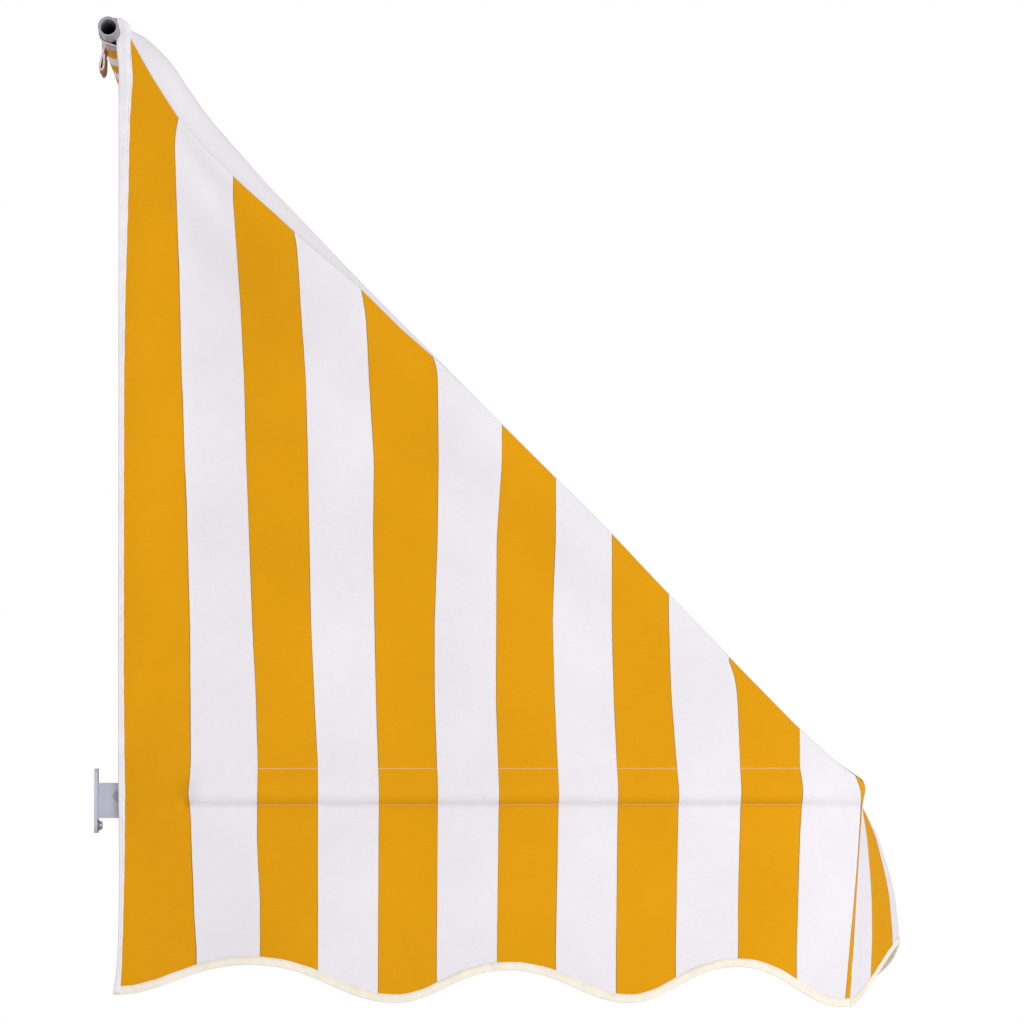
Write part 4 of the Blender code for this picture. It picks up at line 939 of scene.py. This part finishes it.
sleeveTape = {
    "turn": (8, 208),  # degrees round the tube, from square to the roof
    "in": (0.019, 0.012, 0.004, -0.0006, -0.0010),  # from the cloth's edge towards the middle
    "fall": (0, 0, 0, -0.0003, -0.0014),  # towards the tube's axis at those places
    "room": 0.0007,
    "thick": 0.0006,
}
tab = {
    "width": 0.094,
    "loopOut": (0.0105, 0.0080, 0.0042, 0.0018, 0.0040, 0.0074, 0.0086, 0.0089, 0.0090),  # from the wall
    "loopUp": (-0.0195, -0.030, -0.045, -0.057, -0.0605, -0.0575, -0.052, -0.042, -0.034),
    "thick": 0.0026,
}
for sign, end in ((-1, "Left"), (1, "Right")):
    # tape round the sleeve's mouth: a short arc of a tube with a folded outer edge
    turn = np.radians(np.linspace(*sleeveTape["turn"], 44))
    radius = awning["sleeve"] + awning["cloth"] + sleeveTape["room"]
    inX, fall = np.array(sleeveTape["in"])[None], np.array(sleeveTape["fall"])[None]
    r = radius + fall + 0.0002 * np.sin(turn * 9)[:, None]
    y = -awning["tubeOut"] + r * (np.cos(turn)[:, None] * out[0] - np.sin(turn)[:, None] * down[0])
    z = r * (np.cos(turn)[:, None] * out[1] - np.sin(turn)[:, None] * down[1])
    y = np.minimum(y, -0.0003)
    x = sign * (awning["half"] - inX) + 0 * y
    points = np.stack([x, y, z], -1)
    uv = np.stack(np.broadcast_arrays(inX, (turn * radius)[:, None]), -1)
    faces = gridFaces(*z.shape)[:, ::-sign]
    mouth = thicken(makeMesh("sleeveTape" + end, points, faces, bindingLook, uv), sleeveTape["thick"])
    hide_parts("sleeve_tape_" + end.lower())
    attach(mouth, "wall_side")

    # tab: a loop of cloth, sewn under the sleeve at one end
    bends = np.concatenate([[0], np.cumsum(np.hypot(np.diff(tab["loopOut"]), np.diff(tab["loopUp"])))])
    s = np.linspace(0, bends[-1], 40)
    away, level = (softCurve(s, bends, tab[key], 0.002) for key in ("loopOut", "loopUp"))
    across = np.linspace(0, 1, 32)
    x = sign * (awning["half"] - 0.001 - tab["width"] * across)
    sway = 0.0006 * (1 + np.sin(across * np.pi * 3))[None] * smoothStep(s / 0.03)[:, None]
    points = np.stack(np.broadcast_arrays(x[None], -away[:, None] - sway, level[:, None] + sway), -1)
    faces = gridFaces(40, 32)[:, ::sign]
    uv = np.stack(np.broadcast_arrays(across[None], s[:, None]), -1)
    flap = thicken(makeMesh("sleeveTab" + end, points, faces, tabLook, uv), tab["thick"])
    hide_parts("sleeve_tab_" + end.lower())
    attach(flap, "wall_side")
print("pockets and tabs ready")


# Stitches: one short capsule of thread for each, along a line on the cloth
stitch = {
    "pitch": 0.0036,
    "length": 0.0027,
    "radius": 0.00040,
    "lift": 0.0007,  # above the middle of the cloth
    "tapeLift": 0.0003,  # above the outside of a tape
}


def stitchRun(name, lines, blend=None, body=None, look=threadLook):
    # each stitch: two hexagon rings and two poles, turned to the line and to the cloth's normal
    points, faces, total = [], [], 0
    around = np.radians(np.arange(6) * 60)
    for path, normal in lines:
        path, normal = np.asarray(path, float), np.asarray(normal, float)
        gone = np.concatenate([[0], np.cumsum(np.linalg.norm(np.diff(path, axis=0), axis=1))])
        count = int(gone[-1] / stitch["pitch"])
        at = (np.arange(count) + 0.5) * gone[-1] / count
        centre, ahead, back = (np.stack([np.interp(at + step, gone, path[:, k]) for k in range(3)], 1)
                               for step in (0, 0.001, -0.001))
        tangent = unit(ahead - back)
        up = np.stack([np.interp(at, gone, normal[:, k]) for k in range(3)], 1)
        up = unit(up - tangent * (up * tangent).sum(1, keepdims=True))
        beside = np.cross(tangent, up)
        half, radius = stitch["length"] / 2, stitch["radius"]
        ends = [centre - tangent * half - up * radius * 0.9]
        for place in (-0.62, 0.62):
            for angle in around:
                turned = math.cos(angle) * up + math.sin(angle) * beside
                ends.append(centre + tangent * half * place + radius * turned)
        ends.append(centre + tangent * half - up * radius * 0.9)
        points.append(np.stack(ends, 1).reshape(-1, 3))
        k = np.arange(6)
        n = (k + 1) % 6
        first = np.stack([0 * k, 1 + n, 1 + k], 1)
        ring = np.stack([1 + k, 1 + n, 7 + n, 7 + k], 1)
        last = np.stack([13 + 0 * k, 7 + k, 7 + n], 1)
        base = total + 14 * np.arange(count)[:, None, None]
        for part in (first, ring, last):
            faces.extend((base + part[None]).reshape(-1, part.shape[1]).tolist())
        total += 14 * count
    points = np.concatenate(points)
    made = turnOutward(makeMesh(name, points, faces, look, points[:, :2]))
    if blend:
        followFold(made)
    else:
        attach(made, body)
    return made


def sideLine(outward, z, sign, lift=stitch["lift"]):
    # a path over the relief of the side, lifted outwards, with the side's direction as its normal
    x = sign * (awning["half"] - awning["cloth"] / 2 + sideOut(outward, z) + lift)
    path = np.stack([x, -outward, z], 1)
    return path, np.broadcast_to(np.array([float(sign), 0.0, 0.0]), path.shape)


onTape = binding["room"] + binding["thick"] + stitch["tapeLift"]
for sign, end in ((-1, "Left"), (1, "Right")):
    far = np.linspace(0.146, 1.106, 400)
    pocketLines = [sideLine(far, np.full(400, awning[key]), sign) for key in ("seamTop", "seamBottom")]
    pocketStitches = stitchRun("pocketStitches" + end, pocketLines, body="folding_frame")
    outward = np.linspace(0.040, 1.165, 400)
    hemLine = sideLine(outward, hemLevel(outward) + binding["hemWidth"] - 0.0030, sign, onTape)
    z = np.linspace(-0.02, -1.49, 400)
    rear = softCurve(z, side["rearAt"], side["rearOut"], 0.03)
    width = softCurve(z, binding["rearAt"], binding["rearWidth"], 0.003)
    rearLine = sideLine(rear + width - 0.0052, z, sign, onTape)
    hemStitches = stitchRun("hemStitches" + end, [hemLine], blend=True)
    rearStitches = stitchRun("rearStitches" + end, [rearLine], blend=True, look=paleThreadLook)

frontLine = (valanceEnd[3:-3] + valanceUp[3:-3] * 0.0072 + valanceFace[3:-3] * 0.0020, valanceFace[3:-3])
valanceRow = int(np.argmin(np.abs(roofMiddle[:, columnCount // 2, 2] - seamZ)))
seamPath = roofMiddle[valanceRow, 8:-8] + roofNormals[valanceRow, 8:-8] * 0.0007
seamLine = (seamPath, roofNormals[valanceRow, 8:-8])
frontStitches = stitchRun("frontStitches", [frontLine, seamLine], body="folding_frame")
firstRoof = int(np.argmax(roofKinds == "roof"))
lapRow = firstRoof + int(np.argmin(np.abs(roofShares - (lapFar + 0.004) / run)))
lapPath = roofMiddle[lapRow, 2:-2] + roofNormals[lapRow, 2:-2] * 0.0007
roofStitches = stitchRun("roofStitches", [(lapPath, roofNormals[lapRow, 2:-2])], blend=True, look=paleThreadLook)
print("stitches ready")

for sign, end in ((-1, "Left"), (1, "Right")):
    panel = bpy.data.objects["sideCloth" + end]

# Floor and light
studio = {
    "floor": -2.3,
    "floorHalf": 3.6,
    "floorShift": -0.6,  # of its middle from the wall
    "world": 0.63,
    "key": 103.0,
    "keyAt": (-4.4, -3.2, 0.0),
    "keyTo": (-0.705, -0.6, -0.9),
    "keySize": 3.2,
}


def makeStudio(plan):
    # a pale floor, a sky that shows white and lights evenly, and one soft lamp before the near side
    look = Look("floor", 0.9)
    look.paint((1.0, 1.0, 1.0), look.spots(look.place(), 2, 2, 0.88, 0.92))
    half, shift = plan["floorHalf"], plan["floorShift"]
    corners = [(sideways * half, ahead * half + shift, plan["floor"])
               for sideways, ahead in ((-1, -1), (1, -1), (1, 1), (-1, 1))]
    floor = makeMesh("floor", corners, [(0, 1, 2, 3)], look.made, flat=True)
    world = bpy.data.worlds.new("studio")
    bpy.context.scene.world = world
    world.use_nodes = True
    tree = world.node_tree
    shader = tree.nodes["Background"]
    shader.inputs["Color"].default_value = (1, 1, 1, 1)
    path = tree.nodes.new("ShaderNodeLightPath")
    last = path.outputs["Is Camera Ray"]
    for name in ("Is Glossy Ray", "Is Transmission Ray"):
        both = tree.nodes.new("ShaderNodeMath")
        both.operation = "MAXIMUM"
        tree.links.new(last, both.inputs[0])
        tree.links.new(path.outputs[name], both.inputs[1])
        last = both.outputs[0]
    level = tree.nodes.new("ShaderNodeMapRange")
    level.inputs["To Min"].default_value = plan["world"]
    level.inputs["To Max"].default_value = 1.0
    tree.links.new(last, level.inputs["Value"])
    tree.links.new(level.outputs[0], shader.inputs["Strength"])
    lamp = bpy.data.objects.new("key", bpy.data.lights.new("key", "AREA"))
    lamp.data.energy = plan["key"]
    lamp.data.size = plan["keySize"]
    lamp.location = plan["keyAt"]
    lamp.rotation_euler = (Vector(plan["keyTo"]) - lamp.location).to_track_quat("-Z", "Y").to_euler()
    bpy.context.scene.collection.objects.link(lamp)


makeStudio(studio)
bpy.context.scene.view_settings.view_transform = "Standard"
print("studio ready")
